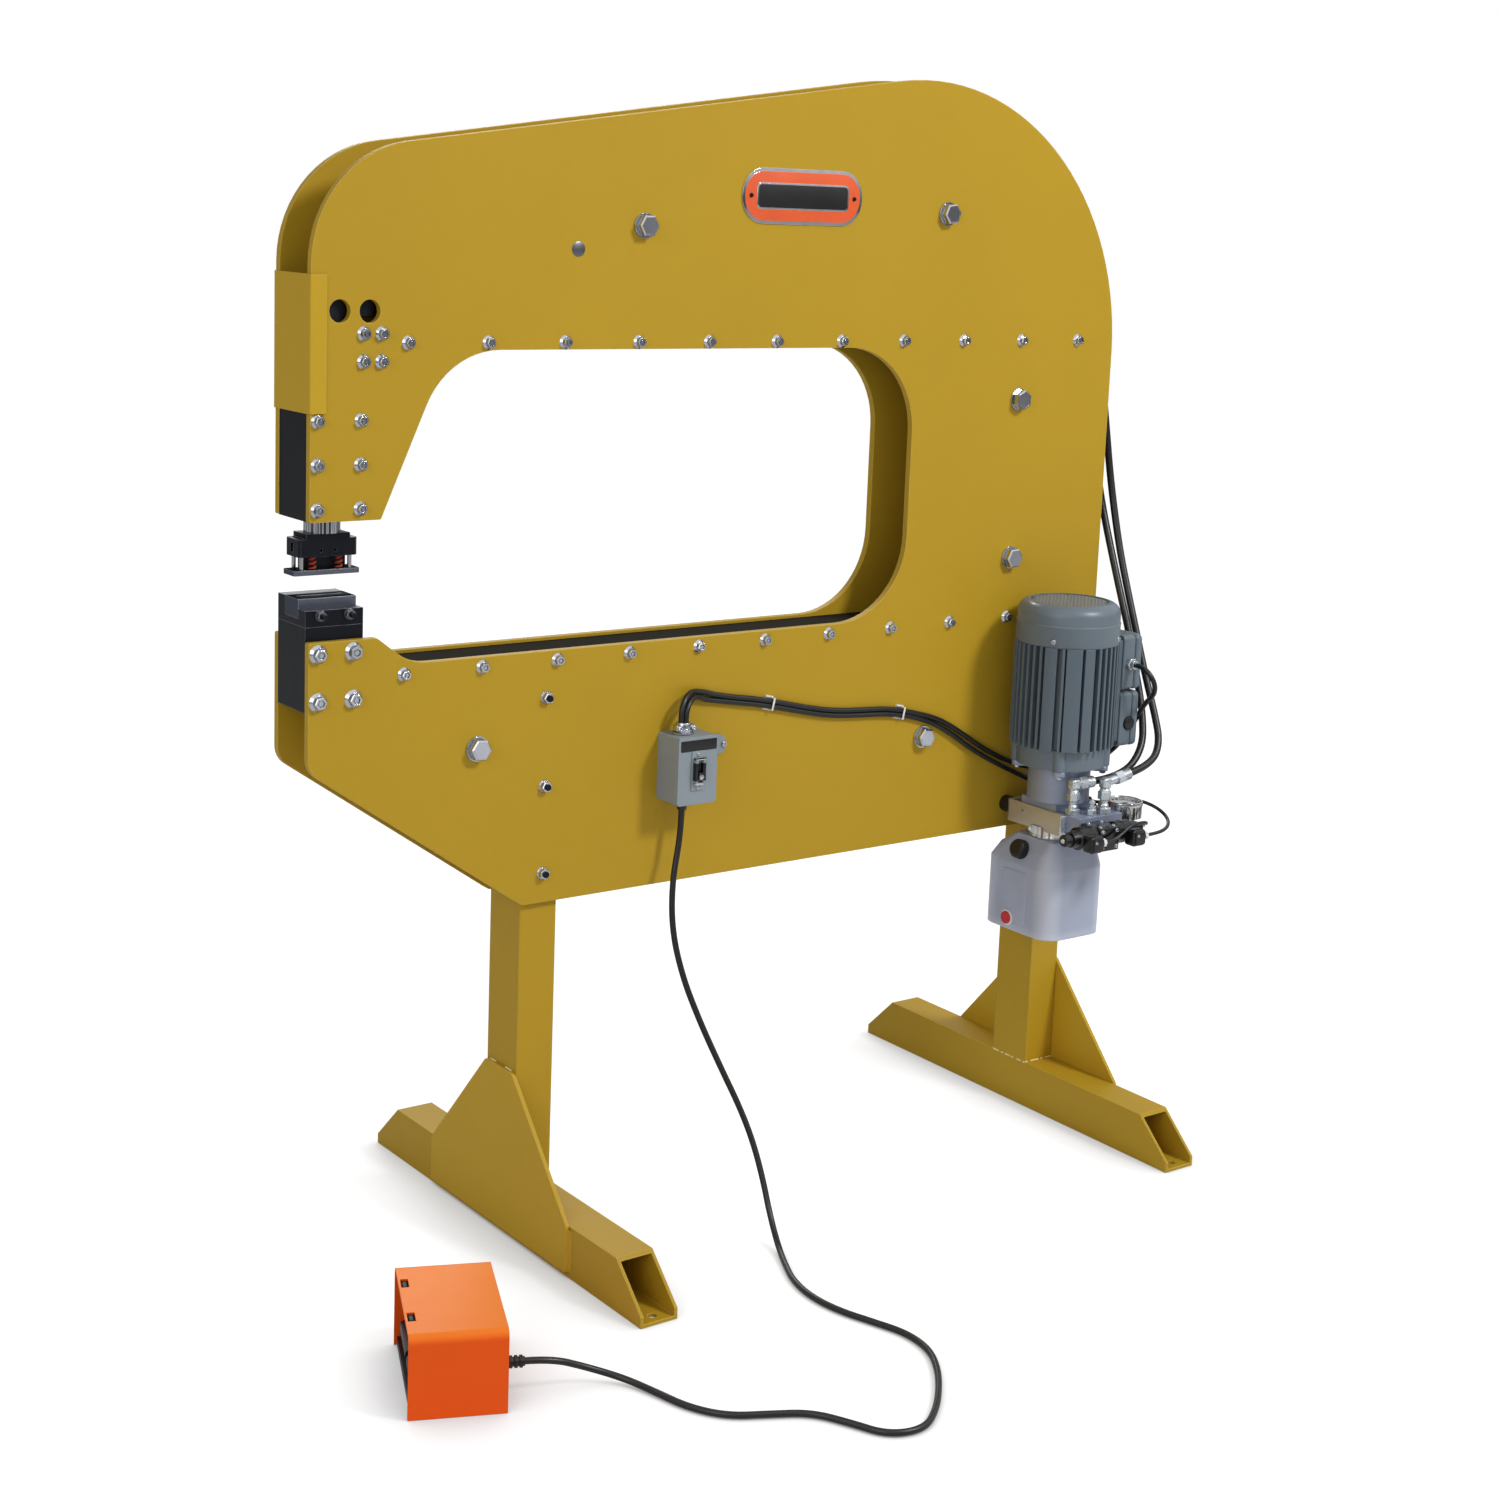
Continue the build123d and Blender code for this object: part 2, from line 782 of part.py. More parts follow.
# Motor: finned frame, end bell, fan under a grille cover, rotor
fin_low_r = motor_core_r - fin_root
fin_mid_r = (fin_low_r + motor_fin_r) / 2
motor_section = Circle(motor_core_r)
for i in range(fin_count):
    fin = Rectangle(motor_fin_r - fin_low_r, fin_w)
    motor_section += Rot(0, 0, 360 / fin_count * i) * Pos(fin_mid_r, 0) * fin
for angle in lug_angles:
    motor_section += Rot(0, 0, angle) * Pos(fin_mid_r, 0) * Rectangle(motor_fin_r - fin_low_r, lug_w)
motor_section += Pos((motor_bore + pad_reach) / 2, 0) * Rectangle(pad_reach - motor_bore, 2 * pad_half)
motor_frame = Pos(pump_x, pump_y, bell_top) * extrude(motor_section, motor_h)
motor_frame -= rod_z(pump_x, pump_y, bell_top - 1, motor_top - motor_roof, motor_bore)
motor_frame -= rod_z(pump_x, pump_y, motor_top - motor_roof - 1, motor_top + 1, shaft_r + run_clear)

top_r = fan_cover_r - fan_shoulder_r
shoulder_z = fan_cover_top - fan_shoulder_r
cut_r = fan_cover_r - fan_shoulder_cut
cut_z = fan_cover_top - fan_shoulder_cut
cover_profile = Polyline(
    (0, fan_cover_top),
    (top_r, fan_cover_top),
    (cut_r, cut_z),
    (fan_cover_r, shoulder_z),
    (fan_cover_r, motor_top),
    (fan_cover_r - fan_cover_t, motor_top),
    (fan_cover_r - fan_cover_t, shoulder_z),
    (cut_r - fan_cover_t, cut_z - fan_cover_t),
    (top_r, fan_cover_top - fan_cover_t),
    (0, fan_cover_top - fan_cover_t),
    close=True,
)
fan_cover = Pos(pump_x, pump_y, 0) * revolve(Plane.XZ * make_face(cover_profile), Axis.Z)
slots = Sketch()
for radius, count in zip(grille_ring_rs, grille_counts):
    for i in range(count):
        slots += Rot(0, 0, 360 / count * i) * Pos(radius, 0) * Rectangle(grille_slot_l, grille_slot_w)
fan_cover -= Pos(pump_x, pump_y, fan_cover_top - fan_cover_t - 1) * extrude(slots, fan_cover_t + 2)

motor_end_bell = rod_z(pump_x, pump_y, adapter_top, bell_top, bell_r)
for angle in bell_ear_angles:
    ear_x = pump_x + bell_ear_at * math.cos(math.radians(angle))
    ear_y = pump_y + bell_ear_at * math.sin(math.radians(angle))
    motor_end_bell += rod_z(ear_x, ear_y, adapter_top, bell_top, bell_ear_r)
motor_end_bell -= rod_z(pump_x, pump_y, adapter_top - 1, bell_top + 1, shaft_r + run_clear)

motor_rotor = rod_z(pump_x, pump_y, block_top + 1, fan_cover_top - shaft_top_gap, shaft_r)
motor_rotor += rod_z(pump_x, pump_y, bell_top + rotor_gap, motor_top - motor_roof - rotor_gap, rotor_r)
motor_rotor += rod_z(pump_x, pump_y, block_top - shaft_tip_l, block_top + 2, shaft_tip_r)

fan_z = motor_top + fan_under
cooling_fan = rod_z(pump_x, pump_y, fan_z, fan_z + fan_h, fan_hub_r)
cooling_fan += rod_z(pump_x, pump_y, fan_z, fan_z + fan_disc_t, fan_r)
for i in range(fan_blades):
    blade = Box(fan_r - fan_blade_gap - shaft_r - fan_blade_gap, fan_blade_t, fan_h)
    blade = Rot(0, 0, 360 / fan_blades * i) * Pos((shaft_r + fan_r) / 2, 0, 0) * blade
    cooling_fan += Pos(pump_x, pump_y, fan_z + fan_h / 2) * blade
cooling_fan -= rod_z(pump_x, pump_y, fan_z - 1, fan_z + fan_h + 1, shaft_r + fan_hub_clear)

boxes = []
for z in (box_low_z, box_low_z + box_h + box_split):
    shell = block(pad_x, pad_x + box_reach, pump_y - box_half_y, pump_y + box_half_y, z, z + box_h)
    corners = shell.edges().filter_by(Axis.X)
    boxes.append(fillet(corners, box_corner_r))
terminal_boxes = group(boxes)

# Pump below the motor, hung from the plate on a rubber-mounted bracket
pump_adapter = rod_z(pump_x, pump_y, block_top, adapter_top, adapter_r)
pump_adapter -= rod_z(pump_x, pump_y, block_top - 1, adapter_top + 1, adapter_bore)
pump_block = block(
    pump_x - block_half_x, pump_x + block_half_x, block_front_y, block_back_y, block_bottom_z, block_top
)
pump_block += rod_z(pump_x, pump_y, tank_top, block_bottom_z, neck_r)
pump_block += rod_z(pump_x, pump_y, tank_top - spigot_h, tank_top, spigot_r)
pump_block -= rod_z(pump_x, pump_y, block_top - shaft_tip_l - 2, block_top + 1, shaft_tip_r + run_clear)

bracket_back_y = -face_y - mount_h
rubber_mounts = group(
    rod_y(pump_x + dx, bracket_back_y, -face_y, block_bottom_z + bracket_h / 2 + bracket_rise, mount_r)
    for dx in (-mount_half_x, mount_half_x)
)
arm_out = arm_x - bracket_t
web_y = bracket_back_y - bracket_t
bracket_low = block_bottom_z + bracket_rise
bracket_front_y = manifold_front_y + bracket_set_back
bracket_high = bracket_low + bracket_h
pump_bracket = block(
    arm_out, pump_x + block_half_x + bracket_t, web_y, bracket_back_y, bracket_low, bracket_high
)
pump_bracket += block(
    pump_x + block_half_x, pump_x + block_half_x + bracket_t, pump_y, web_y, bracket_low, bracket_high
)
pump_bracket += block(arm_out, arm_x, bracket_front_y, web_y, bracket_low, bracket_high)
pump_bracket += block(
    arm_out,
    arm_x,
    bracket_front_y,
    bracket_front_y + bracket_nose,
    bracket_low - bracket_nose_rise,
    bracket_high,
)


# Oil tank: a moulded shell with shoulders that slope in two steps, more so at the back
shoulder_z_low = tank_top - tank_shoulder_h
step_z = shoulder_z_low + tank_step_h
tank_side_x = pump_x - tank_half_x


def tank_body(inset):
    def outline(z, side, front, back, corner):
        y0 = tank_front_y + front + inset
        y1 = tank_back_y - back - inset
        flat = RectangleRounded(2 * (tank_half_x - side - inset), y1 - y0, corner - inset)
        return Pos(pump_x, (y0 + y1) / 2, z) * flat

    low = tank_bottom + inset
    wide = outline(shoulder_z_low, 0, 0, 0, tank_corner_r)
    step = outline(step_z, tank_step_in, tank_step_front, tank_step_back, tank_step_corner_r)
    narrow = outline(
        tank_top - inset, tank_shoulder_in, tank_shoulder_front, tank_shoulder_back, tank_neck_corner_r
    )
    body = extrude(wide, low - shoulder_z_low) + loft([wide, step], ruled=True)
    return body + loft([step, narrow], ruled=True)


oil_tank = tank_body(0) - tank_body(tank_wall)
oil_tank -= rod_z(pump_x, pump_y, tank_top - tank_wall - 2, tank_top + 1, spigot_r + spigot_clear)
cap_x = tank_side_x + tank_step_in - cap_stand
cap_aim = (-tank_shoulder_h, 0, tank_shoulder_in)
cap_plane = Plane(origin=(cap_x, cap_y, step_z), x_dir=(0, 1, 0), z_dir=cap_aim)
cap_hole = extrude(cap_plane * Circle(cap_plug_r + 2 * run_clear), tank_wall * 3, both=True)
oil_tank -= cap_hole
filler_cap = extrude(cap_plane.offset(cap_gap) * Circle(cap_r), cap_height)
filler_cap += extrude(cap_plane.offset(cap_gap) * Circle(cap_plug_r), -cap_plug_l)
plug_z = tank_bottom + plug_up
drain_plug = prism_x(tank_side_x - plug_head_h, tank_side_x, plug_y, plug_z, plug_r)
drain_plug += rod_x(tank_side_x, tank_side_x + tank_wall + 2, plug_y, plug_z, plug_shank_r)
oil_tank -= rod_x(tank_side_x - 1, tank_side_x + tank_wall + 3, plug_y, plug_z, plug_shank_r + seat_clear)

# Manifold with the valve on its front, gauge on its low end, hose elbows on its top
valve_manifold = block(
    arm_x, manifold_step_x, manifold_front_y, block_front_y, manifold_bottom_z, manifold_top
)
step_top = manifold_bottom_z + manifold_step_h
valve_manifold += block(
    manifold_step_x, manifold_rear_x, manifold_front_y, block_front_y, manifold_bottom_z, step_top
)
valve_front_y = manifold_front_y - valve_w
valve_body = block(
    valve_x - valve_l / 2,
    valve_x + valve_l / 2,
    valve_front_y,
    manifold_front_y,
    valve_z - valve_h / 2,
    valve_z + valve_h / 2,
)
coil_y = valve_front_y + coil_w / 2
plug_mid_z = valve_z - plug_box_drop
coils = []
plugs = []
boss_ends = []
for side in (-1, 1):
    near_x = valve_x + side * valve_l / 2
    far_x = near_x + side * coil_l
    x0, x1 = min(near_x, far_x), max(near_x, far_x)
    coil = block(x0, x1, valve_front_y, valve_front_y + coil_w, valve_z - coil_w / 2, valve_z + coil_w / 2)
    coil = fillet(coil.edges().filter_by(Axis.X), coil_r)
    end_x = far_x + side * coil_nut_l
    coils.append(coil + prism_x(min(far_x, end_x), max(far_x, end_x), coil_y, valve_z, coil_nut_r))
    mid_x = (x0 + x1) / 2
    plug_y0 = valve_front_y - plug_box_d
    plug = block(
        mid_x - plug_box_w / 2,
        mid_x + plug_box_w / 2,
        plug_y0,
        valve_front_y,
        plug_mid_z - plug_box_w / 2,
        plug_mid_z + plug_box_w / 2,
    )
    boss_x = mid_x + plug_box_w / 2
    boss_y = valve_front_y - plug_box_d / 2
    plugs.append(plug + rod_x(boss_x, boss_x + plug_boss_l, boss_y, plug_mid_z, plug_boss_r))
    boss_ends.append((boss_x + plug_boss_l, boss_y, plug_mid_z))
solenoid_coils = group(coils)
coil_connectors = group(plugs)

gauge_z = step_top + gauge_stem_h
gauge_top = gauge_z + gauge_h
dial_z = gauge_top - gauge_dial_drop
pressure_gauge = rod_z(gauge_x, gauge_y, step_top, gauge_z, gauge_stem_r)
pressure_gauge += rod_z(gauge_x, gauge_y, gauge_z, gauge_top, gauge_r)
pressure_gauge -= rod_z(gauge_x, gauge_y, dial_z, gauge_top + 1, gauge_r - gauge_wall)
post_hole_z = dial_z - needle_post_deep - needle_post_clear
pressure_gauge -= rod_z(gauge_x, gauge_y, post_hole_z, dial_z + 1, needle_post_r + needle_post_clear)
needle_z = dial_z + needle_lift
needle_flat = make_face(
    Polyline(
        (-needle_r, needle_tip),
        (-needle_r, -needle_tip),
        (needle_tail, -needle_tail_w),
        (needle_tail, needle_tail_w),
        close=True,
    )
)
gauge_needle = Pos(gauge_x, gauge_y, needle_z) * extrude(needle_flat, needle_t)
post_top = needle_z + needle_t + needle_post_top
gauge_needle += rod_z(gauge_x, gauge_y, dial_z - needle_post_deep, post_top, needle_post_r)


# Elbows and straight ends of the hoses
def elbow(x, y, run, tilt):
    body = rod_z(x, y, manifold_top, elbow_z + elbow_r, elbow_r)
    body += prism_z(x, y, manifold_top, manifold_top + elbow_hex_h, elbow_r)
    leg = Pos(run / 2, 0, 0) * Rot(0, 90, 0) * Cylinder(elbow_r, run)
    leg += prism_x(run / 2, run, 0, 0, ferrule_r)
    return body + Pos(x, y, elbow_z) * Rot(0, -tilt, 0) * leg


port_x = ram_x + cap_half_x
fittings = [elbow(*elbow_1, elbow_1_run, 0), elbow(*elbow_2, elbow_2_run, elbow_2_tilt)]
for y in (-port_y, port_y):
    end = rod_x(port_x, port_x + port_l, y, port_z, port_end_r)
    fittings.append(end + prism_x(port_x, port_x + port_hex_l, y, port_z, port_hex))
hose_fittings = group(fittings)

# Switch box with cover, toggle and glands
switch_low_z = switch_z - switch_h / 2
switch_high_z = switch_z + switch_h / 2
switch_left = switch_x - switch_w / 2
switch_right = switch_x + switch_w / 2
box_front_y = -face_y - switch_d
switch_box = block(switch_left, switch_right, box_front_y, -face_y, switch_low_z, switch_high_z)
switch_box = fillet(switch_box.edges().filter_by(Axis.Y), switch_corner_r)
switch_box -= block(
    switch_left + switch_wall,
    switch_right - switch_wall,
    box_front_y - 1,
    -face_y - switch_wall,
    switch_low_z + switch_wall,
    switch_high_z - switch_wall,
)
ear_z = switch_z + ear_up
switch_box += block(
    switch_right - 2, switch_right + ear_out, -face_y - ear_t, -face_y, ear_z - ear_r, ear_z + ear_r
)
switch_box += rod_y(switch_right + ear_out, -face_y - ear_t, -face_y, ear_z, ear_r)

cover_y = box_front_y - switch_cover_t
switch_cover = block(switch_left, switch_right, cover_y, box_front_y, switch_low_z, switch_high_z)
switch_cover = fillet(switch_cover.edges().filter_by(Axis.Y), switch_corner_r)
rail_out = toggle_slot_half_x + toggle_rail
for dx in (-rail_out, toggle_slot_half_x):
    switch_cover += block(
        switch_x + dx,
        switch_x + dx + toggle_rail,
        cover_y - toggle_rail_h,
        cover_y,
        switch_z - toggle_slot_half - toggle_rail_over,
        switch_z + toggle_slot_half + toggle_rail_over,
    )
switch_cover -= block(
    switch_x - toggle_slot_half_x,
    switch_x + toggle_slot_half_x,
    cover_y - 1,
    box_front_y + 1,
    switch_z - toggle_slot_half,
    switch_z + toggle_slot_half,
)
for dx in (-rail_out, toggle_slot_half_x):
    switch_cover += block(
        switch_x + dx,
        switch_x + dx + toggle_rail,
        box_front_y - 1,
        box_front_y + toggle_back,
        switch_z - toggle_slot_half,
        switch_z + toggle_slot_half,
    )
pivot_y = box_front_y + toggle_back / 2
pivot_half = toggle_slot_half_x + pivot_over
pivot_room = pivot_half + toggle_clear
switch_cover -= rod_x(switch_x - pivot_room, switch_x + pivot_room, pivot_y, switch_z, pivot_r + run_clear)
lever = Pos(0, -toggle_l / 2, 0) * Rot(90, 0, 0) * Cylinder(toggle_stem_r, toggle_l)
lever += Pos(0, -toggle_l, 0) * Rot(90, 0, 0) * Cylinder(toggle_r, 2 * toggle_r)
lever += Rot(0, 90, 0) * Cylinder(toggle_ball_r, 2 * toggle_slot_half_x - 2 * toggle_clear)
lever += Rot(0, 90, 0) * Cylinder(pivot_r, 2 * pivot_half)
toggle_lever = Pos(switch_x, pivot_y, switch_z) * Rot(toggle_tilt, 0, 0) * lever

top_gland = rod_z(gland_x, gland_y, switch_high_z, switch_high_z + gland_len, gland_nut_r)
top_gland += prism_z(gland_x, gland_y, switch_high_z, switch_high_z + gland_hex_h, gland_r)
low_gland = rod_z(
    bush_gland_x, bush_gland_y, switch_low_z - bush_gland_len, switch_low_z, bush_gland_r
)
motor_gland_y = pump_y - box_half_y
side_gland = rod_y(
    motor_gland_x, motor_gland_y - motor_gland_len, motor_gland_y, motor_gland_z, motor_gland_nut_r
)
side_gland += prism_y(
    motor_gland_x, motor_gland_y - motor_gland_hex_h, motor_gland_y, motor_gland_z, motor_gland_r
)
cable_glands = group([top_gland, low_gland, side_gland])


# Cords: straight runs joined by tangent arcs
def cord(name, points, diameter):
    spots = [Vector(*p) for p in points]
    radii = []
    for a, b, c in zip(spots, spots[1:], spots[2:]):
        into, out = b - a, c - b
        half_turn = math.radians(into.get_angle(out)) / 2
        radii.append(0.45 * min(into.length, out.length) / math.tan(half_turn))
    path = FilletPolyline(*points, radius=radii)
    start = Plane(origin=path @ 0, z_dir=path % 0)
    section = start * RegularPolygon(diameter / 2, 6)
    tube = sweep(section, path=path)
    ratio = tube.volume / (section.area * path.length)
    least = min(radii) / diameter
    print(name, "length", round(path.length), "least radius", round(least, 1), "diameters,", round(ratio, 4))
    return tube


port_end_x = port_x + port_l
gland_top_z = switch_high_z + gland_len
tilt = math.radians(elbow_2_tilt)
elbow_2_out = elbow_2_run + cord_gap
sleeve_x, sleeve_y, sleeve_z = sleeve_at
sleeve_low_y = sleeve_y - sleeve_l
turn = math.radians(pedal_turn)
relief_out = guard_d / 2 + relief_l + cord_gap
hose_1_top = (
    (462.6, 19.1, 1390.1), (360.4, 15.6, 1383.3), (213.9, 11.9, 1382.2),
    (67.4, 9.4, 1382), (-79.1, 8.1, 1382), (-225.7, 8.2, 1382),
    (-372.2, 9.4, 1382.2), (-518.6, 12.2, 1385.9), (-620.5, 13.9, 1397.2),
)
hose_2_top = (
    (446.6, -18.5, 1388.6), (345.7, -15.2, 1383), (201.2, -11.6, 1382.2),
    (56.7, -9.2, 1382), (-87.9, -8.1, 1382), (-232.4, -8.2, 1382),
    (-377, -9.5, 1382.2), (-521.4, -12.2, 1386.1), (-621.9, -14, 1397.4),
)
port_near_x = port_end_x + hose_straight


def along_head(points):
    first = points[0][0]
    stretch = (port_near_x - first) / (hose_head_x - first)
    return [(first + (x - first) * stretch, y, z) for x, y, z in points]


hose_1_route = [
    (elbow_1[0] + elbow_1_run, elbow_1[1], elbow_z), (517, elbow_1[1], elbow_z), (574.6, -203.1, 679.4),
    (594, -178, 736.7), (602, -148.1, 801.6), (606, -120.6, 868.4), (610, -89, 933.4), (614.5, -57.9, 998.6),
    (620, -26.7, 1063.6), (624, -1, 1130.8), (621.5, 8.6, 1202.2), (610, 16, 1272.7), (585.8, 20.2, 1339.9),
    (534.5, 20.9, 1388.4), *along_head(hose_1_top),
    (port_near_x, port_y, port_z), (port_end_x, port_y, port_z),
]
hose_2_route = [
    (elbow_2[0] + elbow_2_out * math.cos(tilt), elbow_2[1], elbow_z + elbow_2_out * math.sin(tilt)),
    (566.2, elbow_2[1], 658.7), (601, -217, 690), (610, -190, 738), (615.5, -158, 795),
    (620, -127, 862), (624, -96, 929), (627, -68, 994), (628.5, -46, 1062),
    (627.5, -29, 1132), (622.5, -19.5, 1203), (607, -18.4, 1285),
    (576, -20.1, 1355.8), (517.8, -20.8, 1392.2), *along_head(hose_2_top),
    (port_near_x, -port_y, port_z), (port_end_x, -port_y, port_z),
]
motor_cable_route = [
    (gland_x - gland_wire, gland_y, gland_top_z), (gland_x - gland_wire, gland_y, 803),
    (-300.7, -79.5, 816.1), (-292.7, -74.9, 825.4),
    (-282.3, -68.8, 830.4), (-270.5, -62.6, 831), (-257, -59.4, 829.5), (-243, -58.6, 826.3),
    (-223.3, -58.5, 820.2), (-184.3, -58.6, 813), (-145.2, -58.5, 806.8), (-90.7, -58.5, 794.7),
    (-36.3, -58.5, 781.5), (19, -58.5, 771.8), (74.9, -58.4, 768.4), (130.7, -58.4, 764.9),
    (184.9, -58.6, 751.9), (236.5, -58.9, 736.8), (286.3, -59, 708.9), (334.3, -59, 677.9),
    (384.8, -60.7, 652.1), (437.2, -67.9, 633.9), (490.8, -81.9, 627), (523.3, -91.8, 629),
    (546, -105, 636.5), (565, -121, 650), (576, -138, 670), (578.5, -156, 694), (578, -172, 717),
    (575.5, -186, 736), (572, -199, 753), (566, -214.5, 767), (559.6, -230.6, 777.8),
    (554.9, -240.7, 789), (550.3, -243.4, 801.4), (545.7, -240.2, 813.7), (542, -231.7, 823.6),
    (motor_gland_x, -219.5, motor_gland_z), (motor_gland_x, motor_gland_y - motor_gland_len, motor_gland_z),
]
valve_cable_route = [
    (gland_x + gland_wire, gland_y, gland_top_z), (gland_x + gland_wire, gland_y, 800.8),
    (-292.5, -79.9, 810.7), (-285.9, -76.2, 818.3),
    (-277.4, -71.2, 822.4), (-267, -65.2, 822.8), (-255.5, -60.8, 820.2), (-243, -59.2, 814.8),
    (-222.8, -58.5, 811.6), (-183.8, -58.6, 804.6), (-152.5, -58.3, 799.7), (-99.6, -58.6, 788.7),
    (-47.3, -58.6, 775.8), (5.4, -58.5, 765.2), (59, -58.5, 760.6), (112.9, -58.6, 758.1),
    (166.2, -58.5, 749.8), (218.5, -58.4, 734.2), (264.7, -58.6, 709.1), (311, -59.8, 677.6),
    (358.2, -61.9, 651.8), (406.9, -64.3, 628.9), (450, -69.5, 608), (480, -79, 597),
    (499, -94, 588.5), (sleeve_x, -111, 585.3), (sleeve_x, sleeve_y, sleeve_z),
]
lead_1_route = [
    boss_ends[0], (414, boss_ends[0][1], plug_mid_z), (434, -304, 572), (452, -304, 583.5), (470, -303, 585),
    (489, -298, 583.5), (507, -289, 578), (517.5, -272, 571), (517.5, -252, 567), (509, -225, 566.5),
    (508, -207, 567), (506.3, -188, 568.5), (504.8, -172.5, 578.5),
    (sleeve_x - sleeve_wire, -161, sleeve_z), (sleeve_x - sleeve_wire, sleeve_low_y, sleeve_z),
]
lead_2_route = [
    boss_ends[1], (518, boss_ends[1][1], plug_mid_z), (545, -298, 566), (566, -283, 571.5), (577, -261, 579),
    (576, -237, 587), (567, -214, 592), (553, -194, 593), (537, -183, 590), (524, -177, 587.5),
    (514.8, -170, 585.8), (sleeve_x + sleeve_wire, -160.5, sleeve_z),
    (sleeve_x + sleeve_wire, sleeve_low_y, sleeve_z),
]
pedal_cord_route = [
    (bush_gland_x, bush_gland_y, switch_low_z - bush_gland_len), (bush_gland_x, bush_gland_y, 614),
    (-318.2, -91.2, 544.2), (-322.3, -100.9, 469.1),
    (-309.8, -115.9, 396.1), (-287.7, -135, 326.1), (-263, -157.2, 257.9), (-238.7, -182.8, 190.9),
    (-227.8, -205.2, 140.3), (-224.3, -228.4, 89.1), (-226.7, -253.8, 38.9), (-240.7, -296.2, 7.2),
    (-265.6, -346.5, 5), (-288.9, -397.8, 5), (-298, -453.2, 5), (-290.8, -508.9, 5),
    (-271.2, -561.8, 5), (-252.1, -614.6, 5), (-256.7, -670.2, 5), (-284, -719.3, 5),
    (-319.5, -763.1, 5), (-359.1, -803.2, 5), (-405.2, -835, 5), (-455.8, -820.6, 5),
    (-478.6, -769.3, 5), (-505.6, -720.6, 5), (-554.8, -694, 5), (-604.5, -668.2, 5),
    (-634.7, -621.1, 5), (-647.6, -566.4, 5), (-665.2, -513.3, 7.1), (-708.7, -484.8, 23.1),
    (-759, -479.5, 46), (
        pedal_at[0] + relief_out * math.cos(turn) - relief_v * math.sin(turn),
        pedal_at[1] + relief_out * math.sin(turn) + relief_v * math.cos(turn),
        relief_z,
    ),
]
pressure_hose = cord("pressure hose", hose_1_route, hose_d)
return_hose = cord("return hose", hose_2_route, hose_d)
sleeve = rod_y(sleeve_x, sleeve_y - sleeve_l, sleeve_y, sleeve_z, sleeve_r)
control_cables = group(
    [
        cord("motor cable", motor_cable_route, cable_d),
        cord("valve cable", valve_cable_route, cable_d),
        sleeve,
    ]
)
solenoid_leads = group(
    [cord("solenoid lead 1", lead_1_route, lead_d), cord("solenoid lead 2", lead_2_route, lead_d)]
)
pedal_cord = cord("pedal cord", pedal_cord_route, pedal_cord_d)

clips = []
for x, z, slope in clip_places:
    clip = Pos(0, -clip_d / 2, 0) * Box(clip_w, clip_d, clip_h)
    clip += Pos(0, -clip_tab_t / 2, (clip_h + clip_tab) / 2 - 1) * Box(clip_w, clip_tab_t, clip_tab + 2)
    for dz in (-clip_row, clip_row):
        clip -= Pos(0, -clip_bore_y, dz) * Rot(0, 90, 0) * Cylinder(clip_bore, clip_w + 2)
    clips.append(Pos(x, -face_y, z) * Rot(0, slope, 0) * clip)
cable_clips = group(clips)

# Foot switch: hooded guard, base with rear block, hinge pin, two treadles
place = Pos(*pedal_at, 0) * Rot(0, 0, pedal_turn)
guard_hood = Pos(0, 0, guard_h / 2) * Box(guard_d, guard_w, guard_h)
hood_edges = guard_hood.edges().filter_by(Axis.X).group_by(Axis.Z)[-1]
guard_hood = fillet(hood_edges, guard_bend_r)
guard_in_h = guard_h - guard_t
guard_room = Pos(-guard_t, 0, guard_in_h / 2) * Box(guard_d, guard_w - 2 * guard_t, guard_in_h)
room_edges = guard_room.edges().filter_by(Axis.X).group_by(Axis.Z)[-1]
guard_hood -= fillet(room_edges, guard_bend_r - guard_t)
for y in (-guard_slot_y, guard_slot_y):
    guard_hood -= Pos(guard_slot_x, y, guard_h) * Box(guard_slot_w, guard_slot_l, 3 * guard_t)
pedal_guard = place * guard_hood

base_half = guard_w / 2 - guard_t - base_clear
base_rear = guard_d / 2 - guard_t
base_plate = block(-guard_d / 2 + base_front_gap, base_rear, -base_half, base_half, 0, base_t)
base_plate += block(base_rear - rear_block_d, base_rear, -base_half, base_half, base_t, base_t + rear_block_h)
hinge_line = Pos(hinge_u, 0, hinge_z) * Rot(90, 0, 0)
base_plate -= hinge_line * Cylinder(treadle_hub_r + hub_room, 2 * base_half - 2 * hinge_end)
for v in (-base_half, -hinge_end / 2, base_half - hinge_end):
    base_plate += block(
        hinge_u - cheek_front, hinge_u + cheek_back, v, v + hinge_end, base_t, hinge_z + cheek_over
    )
pin = hinge_line * Cylinder(hinge_r, 2 * base_half)
base_plate -= hinge_line * Cylinder(hinge_r + seat_clear, 2 * base_half + 2)
pedal_base = place * base_plate
pedal_pin = place * pin


def treadle(v0, v1):
    mid = (v0 + v1) / 2
    width = v1 - v0
    board = Pos(hinge_u, mid, hinge_z) * Rot(90, 0, 0) * Cylinder(treadle_hub_r, width)
    front = -treadle_front
    board += block(front, hinge_u, v0, v1, hinge_z, hinge_z + treadle_t)
    for i in range(rib_count):
        u = front + rib_first + i * rib_pitch
        rib_z = hinge_z + treadle_t
        board += block(u, u + rib_w, v0 + rib_end, v1 - rib_end, rib_z, rib_z + rib_h)
    board -= Pos(hinge_u, mid, hinge_z) * Rot(90, 0, 0) * Cylinder(hinge_r + run_clear, width + 2)
    return place * board


inner_v = hinge_end / 2 + treadle_side
outer_v = base_half - hinge_end - treadle_side
left_pedal = treadle(inner_v, outer_v)
right_pedal = treadle(-outer_v, -inner_v)

